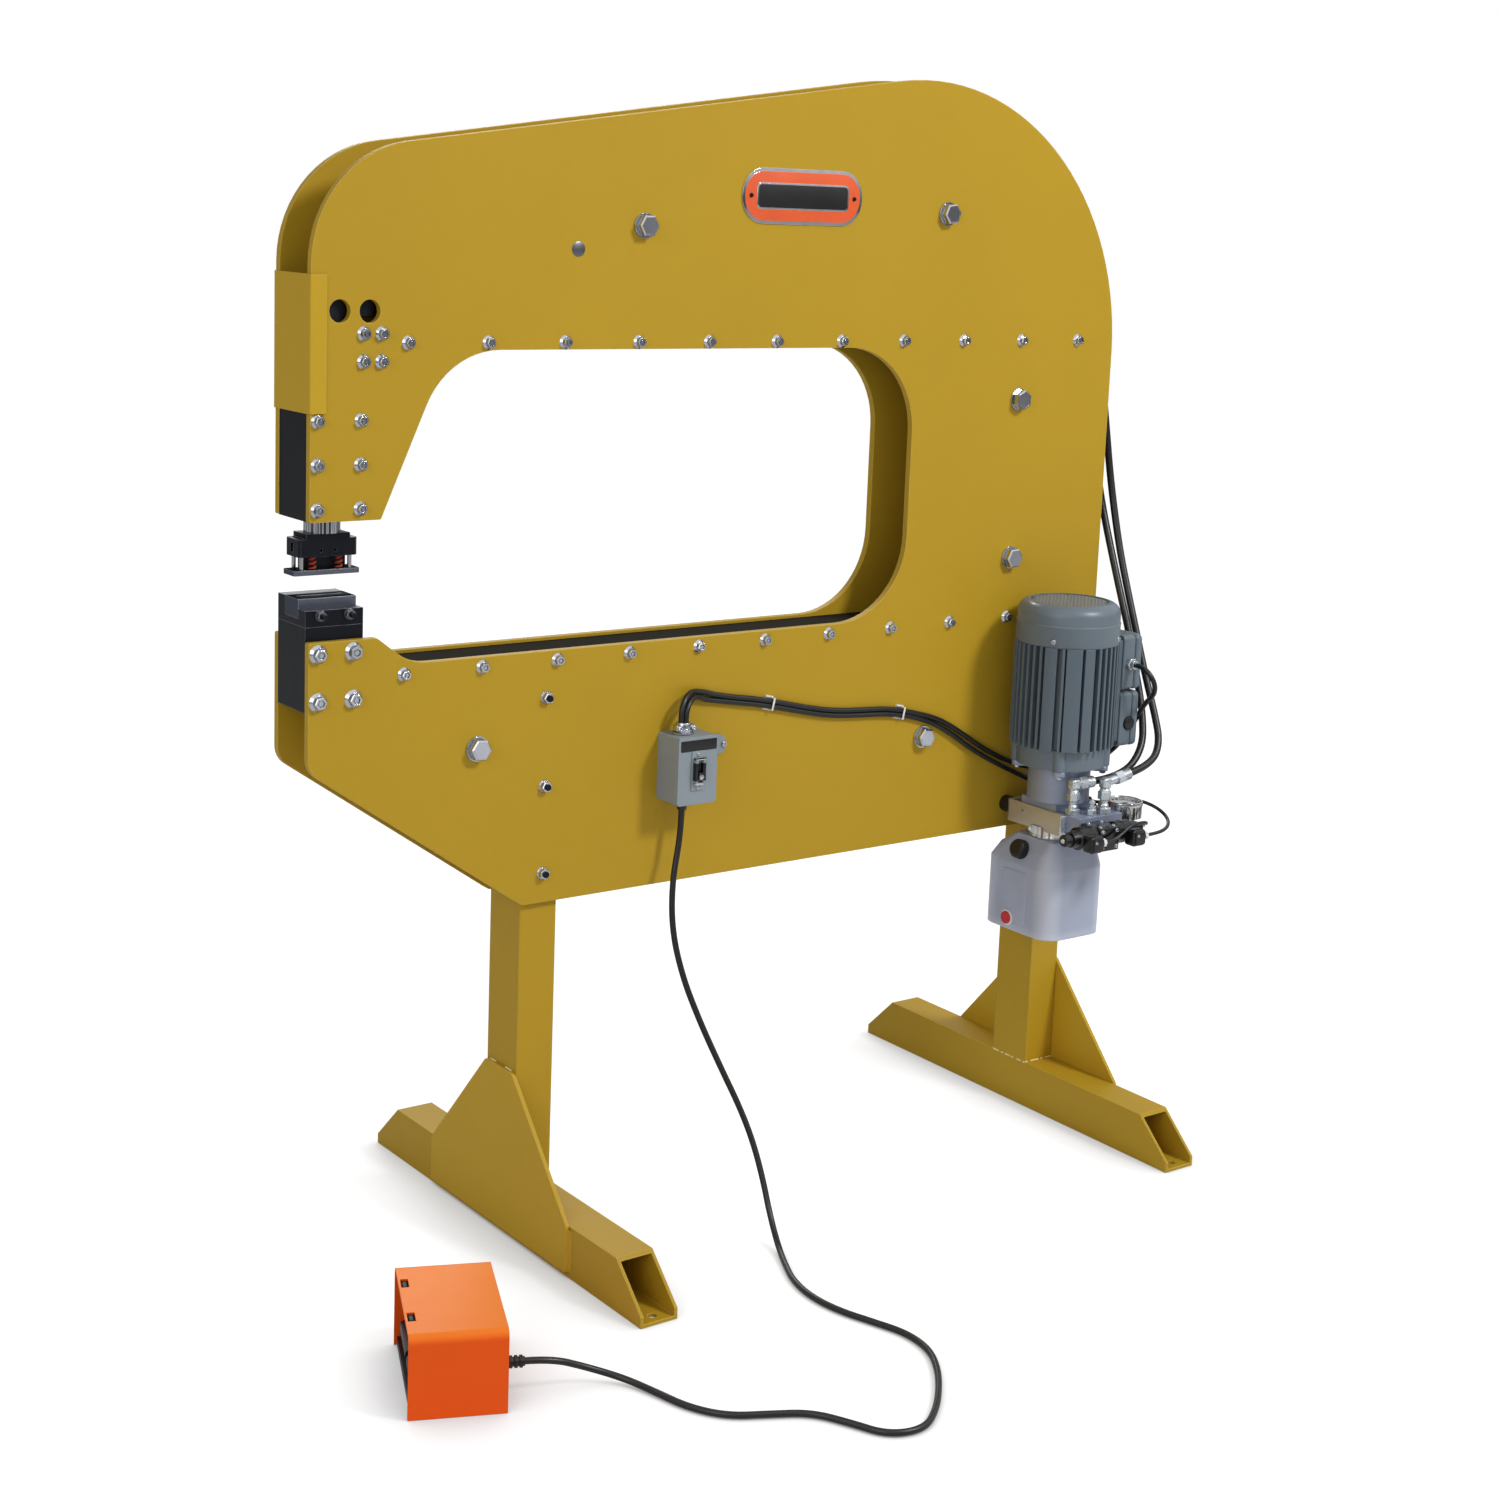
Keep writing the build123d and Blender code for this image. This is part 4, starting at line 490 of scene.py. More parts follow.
valveCableRoute = [
    (-296, -82, 790), (-296, -82, 800.8), (-292.5, -79.9, 810.7), (-285.9, -76.2, 818.3),
    (-277.4, -71.2, 822.4), (-267, -65.2, 822.8), (-255.5, -60.8, 820.2), (-243, -59.2, 814.8),
    (-222.8, -58.5, 811.6), (-183.8, -58.6, 804.6), (-152.5, -58.3, 799.7), (-99.6, -58.6, 788.7),
    (-47.3, -58.6, 775.8), (5.4, -58.5, 765.2), (59, -58.5, 760.6), (112.9, -58.6, 758.1),
    (166.2, -58.5, 749.8), (218.5, -58.4, 734.2), (264.7, -58.6, 709.1), (311, -59.8, 677.6),
    (358.2, -61.9, 651.8), (406.9, -64.3, 628.9), (450, -69.5, 608), (480, -79, 597),
    (499, -94, 588.5), (507, -111, 585.3), (507, -126, 585),
]
leadOneRoute = [
    (396, -304, 563), (414, -304, 563), (434, -304, 572), (452, -304, 583.5), (470, -303, 585),
    (489, -298, 583.5), (507, -289, 578), (517.5, -272, 571), (517.5, -252, 567), (509, -225, 566.5),
    (508, -207, 567), (506.3, -188, 568.5), (504.8, -172.5, 578.5), (503.8, -161, 585), (503.8, -150, 585),
]
leadTwoRoute = [
    (492, -304, 563), (518, -304, 563), (545, -298, 566), (566, -283, 571.5), (577, -261, 579),
    (576, -237, 587), (567, -214, 592), (553, -194, 593), (537, -183, 590), (524, -177, 587.5),
    (514.8, -170, 585.8), (510.2, -160.5, 585), (510.2, -150, 585),
]
pedalRoute = [
    (-300, -84, 654), (-300, -84, 614), (-318.2, -91.2, 544.2), (-322.3, -100.9, 469.1),
    (-309.8, -115.9, 396.1), (-287.7, -135, 326.1), (-263, -157.2, 257.9), (-238.7, -182.8, 190.9),
    (-227.8, -205.2, 140.3), (-224.3, -228.4, 89.1), (-226.7, -253.8, 38.9), (-240.7, -296.2, 7.2),
    (-265.6, -346.5, 5), (-288.9, -397.8, 5), (-298, -453.2, 5), (-290.8, -508.9, 5),
    (-271.2, -561.8, 5), (-252.1, -614.6, 5), (-256.7, -670.2, 5), (-284, -719.3, 5),
    (-319.5, -763.1, 5), (-359.1, -803.2, 5), (-405.2, -835, 5), (-455.8, -820.6, 5),
    (-478.6, -769.3, 5), (-505.6, -720.6, 5), (-554.8, -694, 5), (-604.5, -668.2, 5),
    (-634.7, -621.1, 5), (-647.6, -566.4, 5), (-665.2, -513.3, 7.1), (-708.7, -484.8, 23.1),
    (-759, -479.5, 46), (-792.1, -465.2, 46),
]


def oneFinish(shape, material):
    shape.materials.clear()
    shape.materials.append(finish[material] if isinstance(material, str) else material)
    return shape


def addPiece(name, shape, slotName, stands=(), material=None, body="frame"):
    shape.name = name
    piece = bpy.data.objects.new(name, shape)
    scene.collection.objects.link(piece)
    if material or len(shape.materials) == 0:  # a bare shape takes the finish of its slot
        oneFinish(shape, material or slotName)
    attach(piece, body)
    if stands:
        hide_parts(*stands)
    return piece


def cordLine(name, route, diameter):
    curve = bpy.data.curves.new(name, "CURVE")
    curve.dimensions = "3D"
    spline = curve.splines.new("NURBS")
    spline.points.add(len(route) - 1)
    for spot, (x, y, z) in zip(spline.points, route):
        spot.co = (x * mm, y * mm, z * mm, 1.0)
    spline.order_u = 3
    spline.use_endpoint_u = True
    spline.resolution_u = 8
    curve.bevel_depth = diameter / 2 * mm
    curve.bevel_resolution = 4
    curve.use_fill_caps = True
    return curve


def layCord(name, route, diameter, stands):
    return addPiece(name, cordLine(name, route, diameter), "black_rubber", stands)


def freeCord(name, route, diameter, stands):
    layCord(name, route, diameter, stands)


freeCord("pressureHose", hoseRoute, 12.7, ["pressure_hose"])
freeCord("returnHose", returnRoute, 12.7, ["return_hose"])
freeCord("pedalCord", pedalRoute, 9.5, ["pedal_cord"])
freeCord("solenoidLeadOne", leadOneRoute, 6.0, ["solenoid_leads"])
freeCord("solenoidLeadTwo", leadTwoRoute, 6.0, ["solenoid_leads"])
layCord("motorCable", motorCableRoute, 8.6, ["control_cables"])  # these two are clipped to the frame
layCord("valveCable", valveCableRoute, 8.6, ["control_cables"])
print("cords laid")


# repeated pieces with Geometry Nodes
def startTree(name, sizes):
    tree = bpy.data.node_groups.new(name, "GeometryNodeTree")
    tree.interface.new_socket("Geometry", in_out="INPUT", socket_type="NodeSocketGeometry")
    tree.interface.new_socket("Geometry", in_out="OUTPUT", socket_type="NodeSocketGeometry")
    for label, kind in sizes:
        tree.interface.new_socket(label, in_out="INPUT", socket_type="NodeSocket" + kind)
    maker = Maker(tree)
    entry = tree.nodes.new("NodeGroupInput")
    maker.given = {s.name: Sock(maker, s) for s in entry.outputs if s.name}
    return maker


def pointMesh(places):
    mesh = bpy.data.meshes.new("places")
    mesh.from_pydata([tuple(v * mm for v in at) for at, aim, spin in places], [], [])
    mesh.attributes.new("aim", "FLOAT_VECTOR", "POINT")
    mesh.attributes.new("spin", "FLOAT", "POINT")
    for i, (at, aim, spin) in enumerate(places):
        mesh.attributes["aim"].data[i].vector = Vector(aim).normalized()
        mesh.attributes["spin"].data[i].value = math.radians(spin)
    return mesh


def runTree(maker, values, places):
    carrier = bpy.data.objects.new("carrier", pointMesh(places))
    scene.collection.objects.link(carrier)
    modifier = carrier.modifiers.new("repeat", "NODES")
    modifier.node_group = maker.tree
    for item in maker.tree.interface.items_tree:
        if item.item_type == "SOCKET" and item.in_out == "INPUT" and item.name in values:
            modifier[item.identifier] = values[item.name]
    bpy.context.view_layer.update()
    graph = bpy.context.evaluated_depsgraph_get()
    mesh = bpy.data.meshes.new_from_object(carrier.evaluated_get(graph))
    bpy.data.objects.remove(carrier)
    return mesh


def scatter(m, instance):
    aim = m.node("GeometryNodeInputNamedAttribute", {"data_type": "FLOAT_VECTOR"}, {"Name": "aim"})
    spin = m.node("GeometryNodeInputNamedAttribute", {"data_type": "FLOAT"}, {"Name": "spin"})
    turn = m.node("FunctionNodeAlignRotationToVector", {"axis": "Z"}, {"Vector": aim})
    wanted = {"Points": m.given["Geometry"], "Instance": instance, "Rotation": turn}
    copies = m.node("GeometryNodeInstanceOnPoints", {}, wanted)
    about = m.node("ShaderNodeCombineXYZ", {}, {"Z": spin})
    copies = m.node("GeometryNodeRotateInstances", {}, {"Instances": copies, "Rotation": about})
    return m.node("GeometryNodeRealizeInstances", {}, {"Geometry": copies})


def painted(m, shape, label):
    return m.node("GeometryNodeSetMaterial", {}, {"Geometry": shape, "Material": m.given[label]})


def upBy(m, shape, height):
    lift = m.node("ShaderNodeCombineXYZ", {}, {"Z": height})
    return m.node("GeometryNodeTransform", {}, {"Geometry": shape, "Translation": lift})


def pulled(m, shape, top, distance):
    wanted = {"Mesh": shape, "Selection": top, "Offset Scale": distance}
    return m.node("GeometryNodeExtrudeMesh", {}, wanted)


def narrowed(m, shape, top, scale):
    wanted = {"Geometry": shape, "Selection": top, "Scale": scale}
    return m.node("GeometryNodeScaleElements", {}, wanted)


# bolt heads: a flange, a dished hexagon and a round core, sizes in millimetres
boltLabels = (
    "flangeRadius", "flangeTop", "flangeHeight", "hexRadius", "hexHeight", "chamfer", "chamferScale",
    "dishScale", "dishDepth", "coreRadius", "coreHeight",
)
boltSizes = {
    "plate": (10.8, 7.8, 3.4, 7.4, 4.8, 0.8, 0.9, 0.66, 1.8, 2.7, 7.2),
    "jaw": (14.0, 10.2, 4.2, 9.6, 5.4, 0.9, 0.9, 0.66, 2.2, 3.7, 8.4),
    "post": (10.4, 8.8, 2.6, 8.6, 5.6, 0.8, 0.9, 0.68, 1.0, 4.9, 10.6),
    "tie": (19.0, 18.6, 3.0, 17.0, 11.2, 1.8, 0.87, 0.9, 0.3, 0.2, 4.0),
    "small": (5.2, 4.4, 1.6, 4.2, 1.6, 0.5, 0.86, 0.6, 1.4, 0.8, 1.2),
    "clamp": (8.2, 7.6, 1.4, 7.4, 5.0, 0.7, 0.88, 0.7, 0.4, 4.0, 14.0),
}
for kind, by in {"tiny": 0.68, "bell": 1.25, "plug": 0.5}.items():  # the small screw in other sizes
    pairs = zip(boltLabels, boltSizes["small"])
    boltSizes[kind] = [v if label.endswith("Scale") else v * by for label, v in pairs]


def boltTree():
    finishes = [("headFinish", "Material"), ("coreFinish", "Material")]
    m = startTree("boltHead", [(label, "Float") for label in boltLabels] + finishes)
    g = m.given
    flange = m.node("GeometryNodeMeshCone", {}, {
        "Vertices": 40, "Radius Top": g["flangeTop"], "Radius Bottom": g["flangeRadius"],
        "Depth": g["flangeHeight"]})
    hexed = m.node("GeometryNodeMeshCylinder", {}, {
        "Vertices": 6, "Radius": g["hexRadius"], "Depth": g["hexHeight"]})
    capped = pulled(m, hexed, hexed.other("Top"), g["chamfer"])
    top = capped.other("Top")
    rim = pulled(m, narrowed(m, capped, top, g["chamferScale"]), top, 0.0)
    rimTop = rim.other("Top")
    dish = pulled(m, narrowed(m, rim, rimTop, g["dishScale"]), rimTop, 0 - g["dishDepth"])
    head = upBy(m, dish, g["flangeHeight"] + g["hexHeight"] * 0.5)
    heads = painted(m, scatter(m, m.join(flange, head)), "headFinish")
    core = m.node("GeometryNodeMeshCylinder", {}, {
        "Vertices": 16, "Radius": g["coreRadius"], "Depth": g["coreHeight"]})
    core = upBy(m, core, g["coreHeight"] * 0.5 + 0.001)
    cores = painted(m, scatter(m, core), "coreFinish")
    m.node("NodeGroupOutput", {}, {0: m.join(heads, cores)})
    return m


boltMaker = boltTree()


def bolts(kind, places, head="zinc", core="zinc"):
    values = {"headFinish": finish[head], "coreFinish": finish[core]}
    for label, v in zip(boltLabels, boltSizes[kind]):
        values[label] = v if label.endswith("Scale") else v * mm
    return runTree(boltMaker, values, places)


def bothPlates(spots):
    found = []
    for side in (-1, 1):
        found += [((x, side * faceY, z), (0, side, 0), (7 * i * i) % 60) for i, (x, z) in enumerate(spots)]
    return found


def joinMeshes(meshes):
    made = bmesh.new()
    slots = []
    for part in meshes:
        offset = {}
        for i, material in enumerate(part.materials):
            if material not in slots:
                slots.append(material)
            offset[i] = slots.index(material)
        before = len(made.faces)
        made.from_mesh(part)
        made.faces.ensure_lookup_table()
        for face in made.faces[before:]:
            face.material_index = offset.get(face.material_index, 0)
    whole = bpy.data.meshes.new("joined")
    made.to_mesh(whole)
    made.free()
    for material in slots:
        whole.materials.append(material)
    return whole


def addJoined(name, meshes, slotName, stands=(), body="frame"):
    return addPiece(name, joinMeshes(meshes), slotName, stands, body=body)


rowScrews = [(-764 + 127 * i, z) for z in (1365, 899) for i in range(11)]
guideScrews = [(x, z) for x in (-900, -835) for z in (1138, 1199, 1259.5)]
saddleScrews = [(x, z) for x in (-832, -804.6) for z in (1377.5, 1339.5)]
jawScrews = [(x, z) for x in (-897, -843) for z in (938.5, 871)]
postScrews = [(x, z) for x in (-528, 528) for z in (844, 709.5, 576)]
tieSpots = [(-380, 1534), (202, 1567), (379, 1267), (379, 1001), (205, 709), (-644, 779)]
addJoined("plateFasteners", [
    bolts("plate", bothPlates(rowScrews + guideScrews + saddleScrews)),
    bolts("jaw", bothPlates(jawScrews)),
    bolts("post", bothPlates(postScrews), core="black_steel"),
], "zinc", ["plate_screws"])
addPiece("tieBolts", bolts("tie", bothPlates(tieSpots)), "zinc", ["tie_bolts"])
print("fasteners set")


# helpers for turned, coiled and rounded pieces, in millimetres
inPlace = Matrix.Identity(4)


def polar(r, angle):
    return r * math.cos(math.radians(angle)), r * math.sin(math.radians(angle))


def ring(centre, r, z, angles, aim=(0, 0, 1), hexed=False):
    found = []
    for a in angles:
        x, y = polar(r, a)
        spin = a * 3 % 60 if hexed else a  # heads aren't all turned alike
        found.append(((centre[0] + x, centre[1] + y, z), aim or (*polar(1, a), 0), spin))
    return found


def each(make, spots):
    return [part for spot in spots for part in make(*spot)]


def frameOn(origin, axis=(0, 0, 1), turn=0.0):
    aim = Vector((0, 0, 1)).rotation_difference(Vector(axis).normalized()).to_matrix().to_4x4()
    spin = Matrix.Rotation(math.radians(turn), 4, "Z")
    return Matrix.Translation(Vector(origin) * mm) @ aim @ spin


def toMesh(shape, place, sharp):
    bmesh.ops.recalc_face_normals(shape, faces=shape.faces)
    mesh = bpy.data.meshes.new("part")
    shape.to_mesh(mesh)
    shape.free()
    mesh.transform(place @ Matrix.Scale(mm, 4))
    mesh.shade_smooth()
    mesh.set_sharp_from_angle(angle=math.radians(sharp))
    return mesh


def skin(spots, place, sharp, capped=True):
    shape = bmesh.new()
    rings = [[shape.verts.new(at) for at in row] for row in spots]
    sides = max(len(row) for row in rings)
    for low, high in zip(rings, rings[1:]):
        for i in range(sides):
            j = (i + 1) % sides
            corners = [low[i % len(low)], low[j % len(low)], high[j % len(high)], high[i % len(high)]]
            corners = list(dict.fromkeys(corners))  # a ring of one spot gives triangles
            if len(corners) > 2:
                shape.faces.new(corners)
    if capped:
        shape.faces.new(rings[0])
        shape.faces.new(rings[-1])
    return toMesh(shape, place, sharp)


def lathe(profile, place, sides=48, sharp=32):
    rings = []
    for r, h in profile:
        steps = range(sides if r > 0.001 else 1)
        rings.append([(*polar(r, 360 * i / sides), h) for i in steps])
    return skin(rings, place, sharp, False)


def hexNut(r, low, high, place, sides=6):
    edge = r * 0.9
    profile = [(0, low), (edge, low), (r, low + 0.9), (r, high - 0.9), (edge, high), (0, high)]
    return lathe(profile, place, sides, 20)


def softBox(low, high, radius, corner=0.0, along="Y", steps=3, place=inPlace):
    shape = bmesh.new()
    bmesh.ops.create_cube(shape, size=1.0)
    middle = [(a + b) / 2 for a, b in zip(low, high)]
    for v in shape.verts:
        v.co = Vector([m + c * (b - a) for m, c, a, b in zip(middle, v.co, low, high)])
    if corner:
        k = "XYZ".index(along)
        edges = [e for e in shape.edges if abs((e.verts[0].co - e.verts[1].co).normalized()[k]) > 0.99]
        bmesh.ops.bevel(shape, geom=edges, offset=corner, segments=8, profile=0.5, affect="EDGES")
    edges = [e for e in shape.edges if e.calc_face_angle(0) > 0.6]
    bmesh.ops.bevel(
        shape, geom=edges, offset=radius, segments=steps, profile=0.5, affect="EDGES", clamp_overlap=True)
    return toMesh(shape, place, 40)


def tube(path, r, sides=8):
    rings = []
    around = [polar(r, 360 * k / sides) for k in range(sides)]
    for i, at in enumerate(path):
        ahead = (Vector(path[min(i + 1, len(path) - 1)]) - Vector(path[max(i - 1, 0)])).normalized()
        side = ahead.cross(Vector((0, 0, 1))).normalized()
        up = side.cross(ahead)
        rings.append([Vector(at) + a * side + b * up for a, b in around])
    return skin(rings, inPlace, 50)


def prism(outline, low, high, place=inPlace, along="Z", sharp=20):
    ends = [[(a, b, h) if along == "Z" else (a, h, b) for a, b in outline] for h in (low, high)]
    return skin(ends, place, sharp)


def dressed(material, *meshes):
    return [oneFinish(mesh, material) for mesh in meshes]


def boxes(material, rows, place=inPlace):
    return dressed(material, *[softBox(*row, place=place) for row in rows])


def barTree():
    sizes = [("sizeX", "Float"), ("sizeY", "Float"), ("sizeZ", "Float"), ("barFinish", "Material")]
    m = startTree("bar", sizes)
    size = m.node("ShaderNodeCombineXYZ", {}, {axis: m.given["size" + axis] for axis in "XYZ"})
    bar = m.node("GeometryNodeMeshCube", {}, {"Size": size})
    m.node("NodeGroupOutput", {}, {0: painted(m, scatter(m, bar), "barFinish")})
    return m


barMaker = barTree()


def bars(size, places, place=inPlace):
    values = {"size" + axis: v * mm for axis, v in zip("XYZ", size)}
    values["barFinish"] = finish["black_plastic"]
    mesh = runTree(barMaker, values, places)
    mesh.transform(place)
    return mesh


def grilleTree():
    sizes = [(label, "Float") for label in ("pitch", "holeRadius", "discRadius", "sheet")]
    m = startTree("grille", sizes + [("count", "Int"), ("grilleFinish", "Material")])
    g = m.given
    span = g["pitch"] * (g["count"] - 1.0)
    grid = m.node("GeometryNodeMeshGrid", {}, {
        "Size X": span, "Size Y": span, "Vertices X": g["count"], "Vertices Y": g["count"]})
    at = m.node("GeometryNodeInputPosition")
    far = m.node("ShaderNodeVectorMath", {"operation": "LENGTH"}, {0: at}, "Value")
    kept = m.node("GeometryNodeDeleteGeometry", {"domain": "POINT"}, {
        "Geometry": grid, "Selection": far > g["discRadius"]})
    square = m.node("GeometryNodeCurvePrimitiveQuadrilateral", {}, {"Width": g["pitch"], "Height": g["pitch"]})
    hole = m.node("GeometryNodeCurvePrimitiveCircle", {}, {"Resolution": 12, "Radius": g["holeRadius"]})
    flat = m.node("GeometryNodeFillCurve", {}, {"Curve": m.join(square, hole)})
    thick = m.node("GeometryNodeExtrudeMesh", {}, {
        "Mesh": flat, "Offset Scale": g["sheet"], "Individual": False})
    tile = m.join(thick, m.node("GeometryNodeFlipFaces", {}, {"Mesh": flat}))
    copies = m.node("GeometryNodeInstanceOnPoints", {}, {"Points": kept, "Instance": tile})
    whole = m.node("GeometryNodeRealizeInstances", {}, {"Geometry": copies})
    m.node("NodeGroupOutput", {}, {0: painted(m, whole, "grilleFinish")})
    return m


# motor: frame with fins, fan cover with its grille, terminal boxes, screws
pumpAt = (432.0, -150.0)
pumpAxis = frameOn((*pumpAt, 0))
fanCover = {
    "low": 871.0, "top": 940.0, "radius": 86.0, "sheet": 2.0, "bead": 905.0, "shoulder": 20.0, "mouth": 65.0,
    "grilleDrop": 2.6, "shadeDrop": 9.0,
}
grille = {"pitch": 8.2, "holeRadius": 3.1, "discRadius": 64.0, "sheet": 1.2, "count": 17}
frameFins = {
    "low": 697.0, "high": 871.0, "core": 74.0, "tip": 88.0, "halfWidth": 1.5, "pitch": 8.5, "pad": (92.0, 40.0),
    "lands": [(-158.0, -144.5), (-133.7, -116.4), (-113.0, -101.7), (102.0, 113.0), (116.0, 134.0)],
    "landGap": 3.4, "padGap": 2.5, "flank": 0.5, "tipStep": 3,
}


def fanCoverMesh(c):
    r, top, s, low, bead = c["radius"], c["top"], c["shoulder"], c["low"], c["bead"]

    def arc(reach):
        turns = [polar(reach, a) for a in range(0, 91, 10)]
        return [(r - s + x, top - s + y) for x, y in turns]

    profile = [(r, low), (r + 0.7, low + 1), (r + 0.7, bead - 2.2), (r + 1.4, bead - 1), (r + 1.4, bead + 1)]
    profile += [(r, bead + 2.2)] + arc(s) + [(c["mouth"], top), (c["mouth"], top - c["sheet"])]
    profile += arc(s - c["sheet"])[::-1] + [(r - c["sheet"], low), (r, low)]
    return lathe(profile, pumpAxis, 72, 40)


def grilleMesh(c):
    values = {key: (v if key == "count" else v * mm) for key, v in c.items()}
    values["grilleFinish"] = grilleGrey
    mesh = runTree(grilleTree(), values, [((0, 0, 0), (0, 0, 1), 0)])
    mesh.transform(frameOn((*pumpAt, fanCover["top"] - fanCover["grilleDrop"])))
    return mesh


def finOutline(f):
    spans = list(f["lands"])
    padX, padY = f["pad"]
    padEdge = math.degrees(math.asin(padY / f["core"])) + f["padGap"]
    count = int(360 / f["pitch"])
    for i in range(count):
        a = -180 + 360 * i / count
        clear = all(a < low - f["landGap"] or a > high + f["landGap"] for low, high in f["lands"])
        if clear and abs(a) > padEdge:
            spans.append((a - f["halfWidth"], a + f["halfWidth"]))
    spans.sort()
    outline = []
    firstPast = next(low for low, high in spans if low > 0)
    for low, high in spans:
        if low == firstPast:
            outline += [(padX, -padY), (padX, padY)]
        steps = max(1, round((high - low) / f["tipStep"]))
        outline.append(polar(f["core"], low - f["flank"]))
        outline += [polar(f["tip"], low + (high - low) * i / steps) for i in range(steps + 1)]
        outline.append(polar(f["core"], high + f["flank"]))
    return outline


def terminalBox(z):
    return boxes("motor_grey", [
        ((523.6, -193.2, z), (551, -106.8, z + 94), 2.5, 8, "X"),
        ((551.8, -194.4, z - 0.6), (566.4, -105.6, z + 94.6), 4.5, 10, "X", 4),
    ])


def bellLug(angle):
    place = frameOn((*pumpAt, 0), turn=angle)
    return boxes("cast_aluminium", [((48, -11, 652), (81, 11, 662), 2.5, 9, "Z")], place)


finMesh = prism(finOutline(frameFins), frameFins["low"], frameFins["high"], pumpAxis)
addPiece("motorFrame", finMesh, "motor_grey", ["motor_frame"], finMotor)
addPiece("fanCover", fanCoverMesh(fanCover), "motor_grey", ["fan_cover"])
addPiece("fanGrille", grilleMesh(grille), "motor_grey")
bellAngles = (45, 135, 225, 315)
boxScrews = [((566.2, y, z), (1, 0, 0), 0) for y in (-186, -114) for z in (693, 773, 791, 871)]
addJoined("motorScrews", [
    bolts("small", ring(pumpAt, 86.6, 881, (-149, -59, 31, 121), None, True)),
    bolts("bell", ring(pumpAt, 72.0, 652.2, bellAngles, (0, 0, -1), True)),
    bolts("tiny", boxScrews),
], "zinc")
blankPlug = [(0, 4.5), (8, 4.5), (11, 3.4), (12, 1.8), (12, 0), (0, 0)]
addPiece("boxPlug", lathe(blankPlug, frameOn((545, -193.1, 726), (0, -1, 0)), 32), "black_plastic")
# painted shade: a dark ring under the grille, so its holes look dark
shadeRing = [(13, 0), (66, 0), (66, -1.5), (13, -1.5), (13, 0)]
shadeAt = frameOn((*pumpAt, fanCover["top"] - fanCover["shadeDrop"]))
addPiece("grilleShade", lathe(shadeRing, shadeAt), "dark_bar")
addJoined("terminalBoxes", each(terminalBox, [(686,), (784,)]), "motor_grey", ["terminal_boxes"])
addJoined("bellLugs", each(bellLug, [(a,) for a in bellAngles]), "cast_aluminium")
neckRing = [
    (45, 536), (46.6, 536.5), (46.6, 540), (46.2, 540.6), (46.2, 551), (46.6, 551.6), (46.6, 555), (45, 555.6)]
addPiece("neckBand", lathe(neckRing, pumpAxis, 64), "cast_aluminium", material=neckReflection)
print("motor trimmed")

# springs between punch holder and stripper, round wire
coil = {
    "low": 1050.3, "high": 1076.7, "radius": 4.6, "wire": 2.5, "turns": 4.5, "steps": 24, "flat": 0.1,
    "spots": [(-867 + dx, dy) for dx in (-20, 20) for dy in (-12, 12)],
}


def coilPath(c, x, y):
    count = int(c["turns"] * c["steps"])
    path = []
    for i in range(count + 1):
        t = i / count
        rise = min(1.0, max(0.0, (t - c["flat"]) / (1 - 2 * c["flat"])))
        u, v = polar(c["radius"], 360 * c["turns"] * t)
        path.append((x + u, y + v, c["low"] + c["wire"] / 2 + rise * (c["high"] - c["low"] - c["wire"])))
    return path


coilMeshes = [tube(coilPath(coil, x, y), coil["wire"] / 2) for x, y in coil["spots"]]
coilMeshes = dressed("spring_red", *coilMeshes)
springs = addJoined("stripperSprings", coilMeshes, "spring_red", ["stripper_springs"], "ram")
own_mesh(springs)
print("springs wound")

# pressure gauge: dial, ticks, bezel and glass
dial = {
    "at": (522.0, -218.0), "z": 592.0, "radius": 28.6, "tickZ": 592.42, "bezelZ": 599.4, "glassZ": 597.2,
    "start": 225, "sweep": 270, "glass": 28.1,
    "bezel": [
        (28.2, -3.5), (28.2, -0.4), (28.8, 0.5), (30.2, 1.0), (31.6, 0.4), (32.0, -1.2), (32.0, -6.0),
        (31.1, -6.6), (31.1, -3.5), (28.2, -3.5)],
}


def dialFinish():
    m = startFinish("dialFace")
    base = m.blend(m.noise(m.coord, 60.0), tone(232, 232, 228), tone(244, 244, 242))
    return endFinish(m, Base_Color=base, Roughness=0.6)


def glassFinish():
    m = startFinish("gaugeGlass")
    clear = m.node("ShaderNodeBsdfTransparent", {}, {"Color": (0.97, 0.98, 0.98, 1)})
    shine = m.node("ShaderNodeBsdfGlossy", {}, {"Color": white, "Roughness": 0.05})
    haze = m.noise(m.coord, 90.0) * 0.08 + 0.04
    mixed = m.node("ShaderNodeMixShader", {}, {0: haze, 1: clear, 2: shine})
    m.node("ShaderNodeOutputMaterial", {}, {"Surface": mixed})
    return m.material


def dialDisc(r, low, high, z):
    return lathe([(0, high), (r, high), (r, low), (0, low)], frameOn((*dial["at"], z)))


def ticks(c, size, count, r):
    angles = [c["start"] - c["sweep"] * i / (count - 1) for i in range(count)]
    return bars(size, ring(c["at"], r, c["tickZ"], angles))


addPiece("gaugeDial", dialDisc(dial["radius"], 0.05, 0.35, dial["z"]), "white_plastic", material=dialFinish())
tickParts = [ticks(dial, (5.0, 0.8, 0.16), 9, 24.0), ticks(dial, (2.6, 0.4, 0.16), 41, 25.2)]
addJoined("gaugeTicks", tickParts, "black_plastic")
addPiece("gaugeBezel", lathe(dial["bezel"], frameOn((*dial["at"], dial["bezelZ"])), 64), "chrome")
addPiece("gaugeGlass", dialDisc(dial["glass"], 0, 1.0, dial["glassZ"]), "white_plastic", material=glassFinish())
print("gauge made")

# filler cap with ribs, on the slope of the tank's shoulder
cap = {
    "height": 16.0, "rim": 16.5, "skirt": 15.7, "gap": 0.3, "plug": 9.0, "plugLength": 6.0, "ribs": 20,
    "rib": (1.6, 2.0, 10.6), "ribRing": (15.6, 6.6),
}


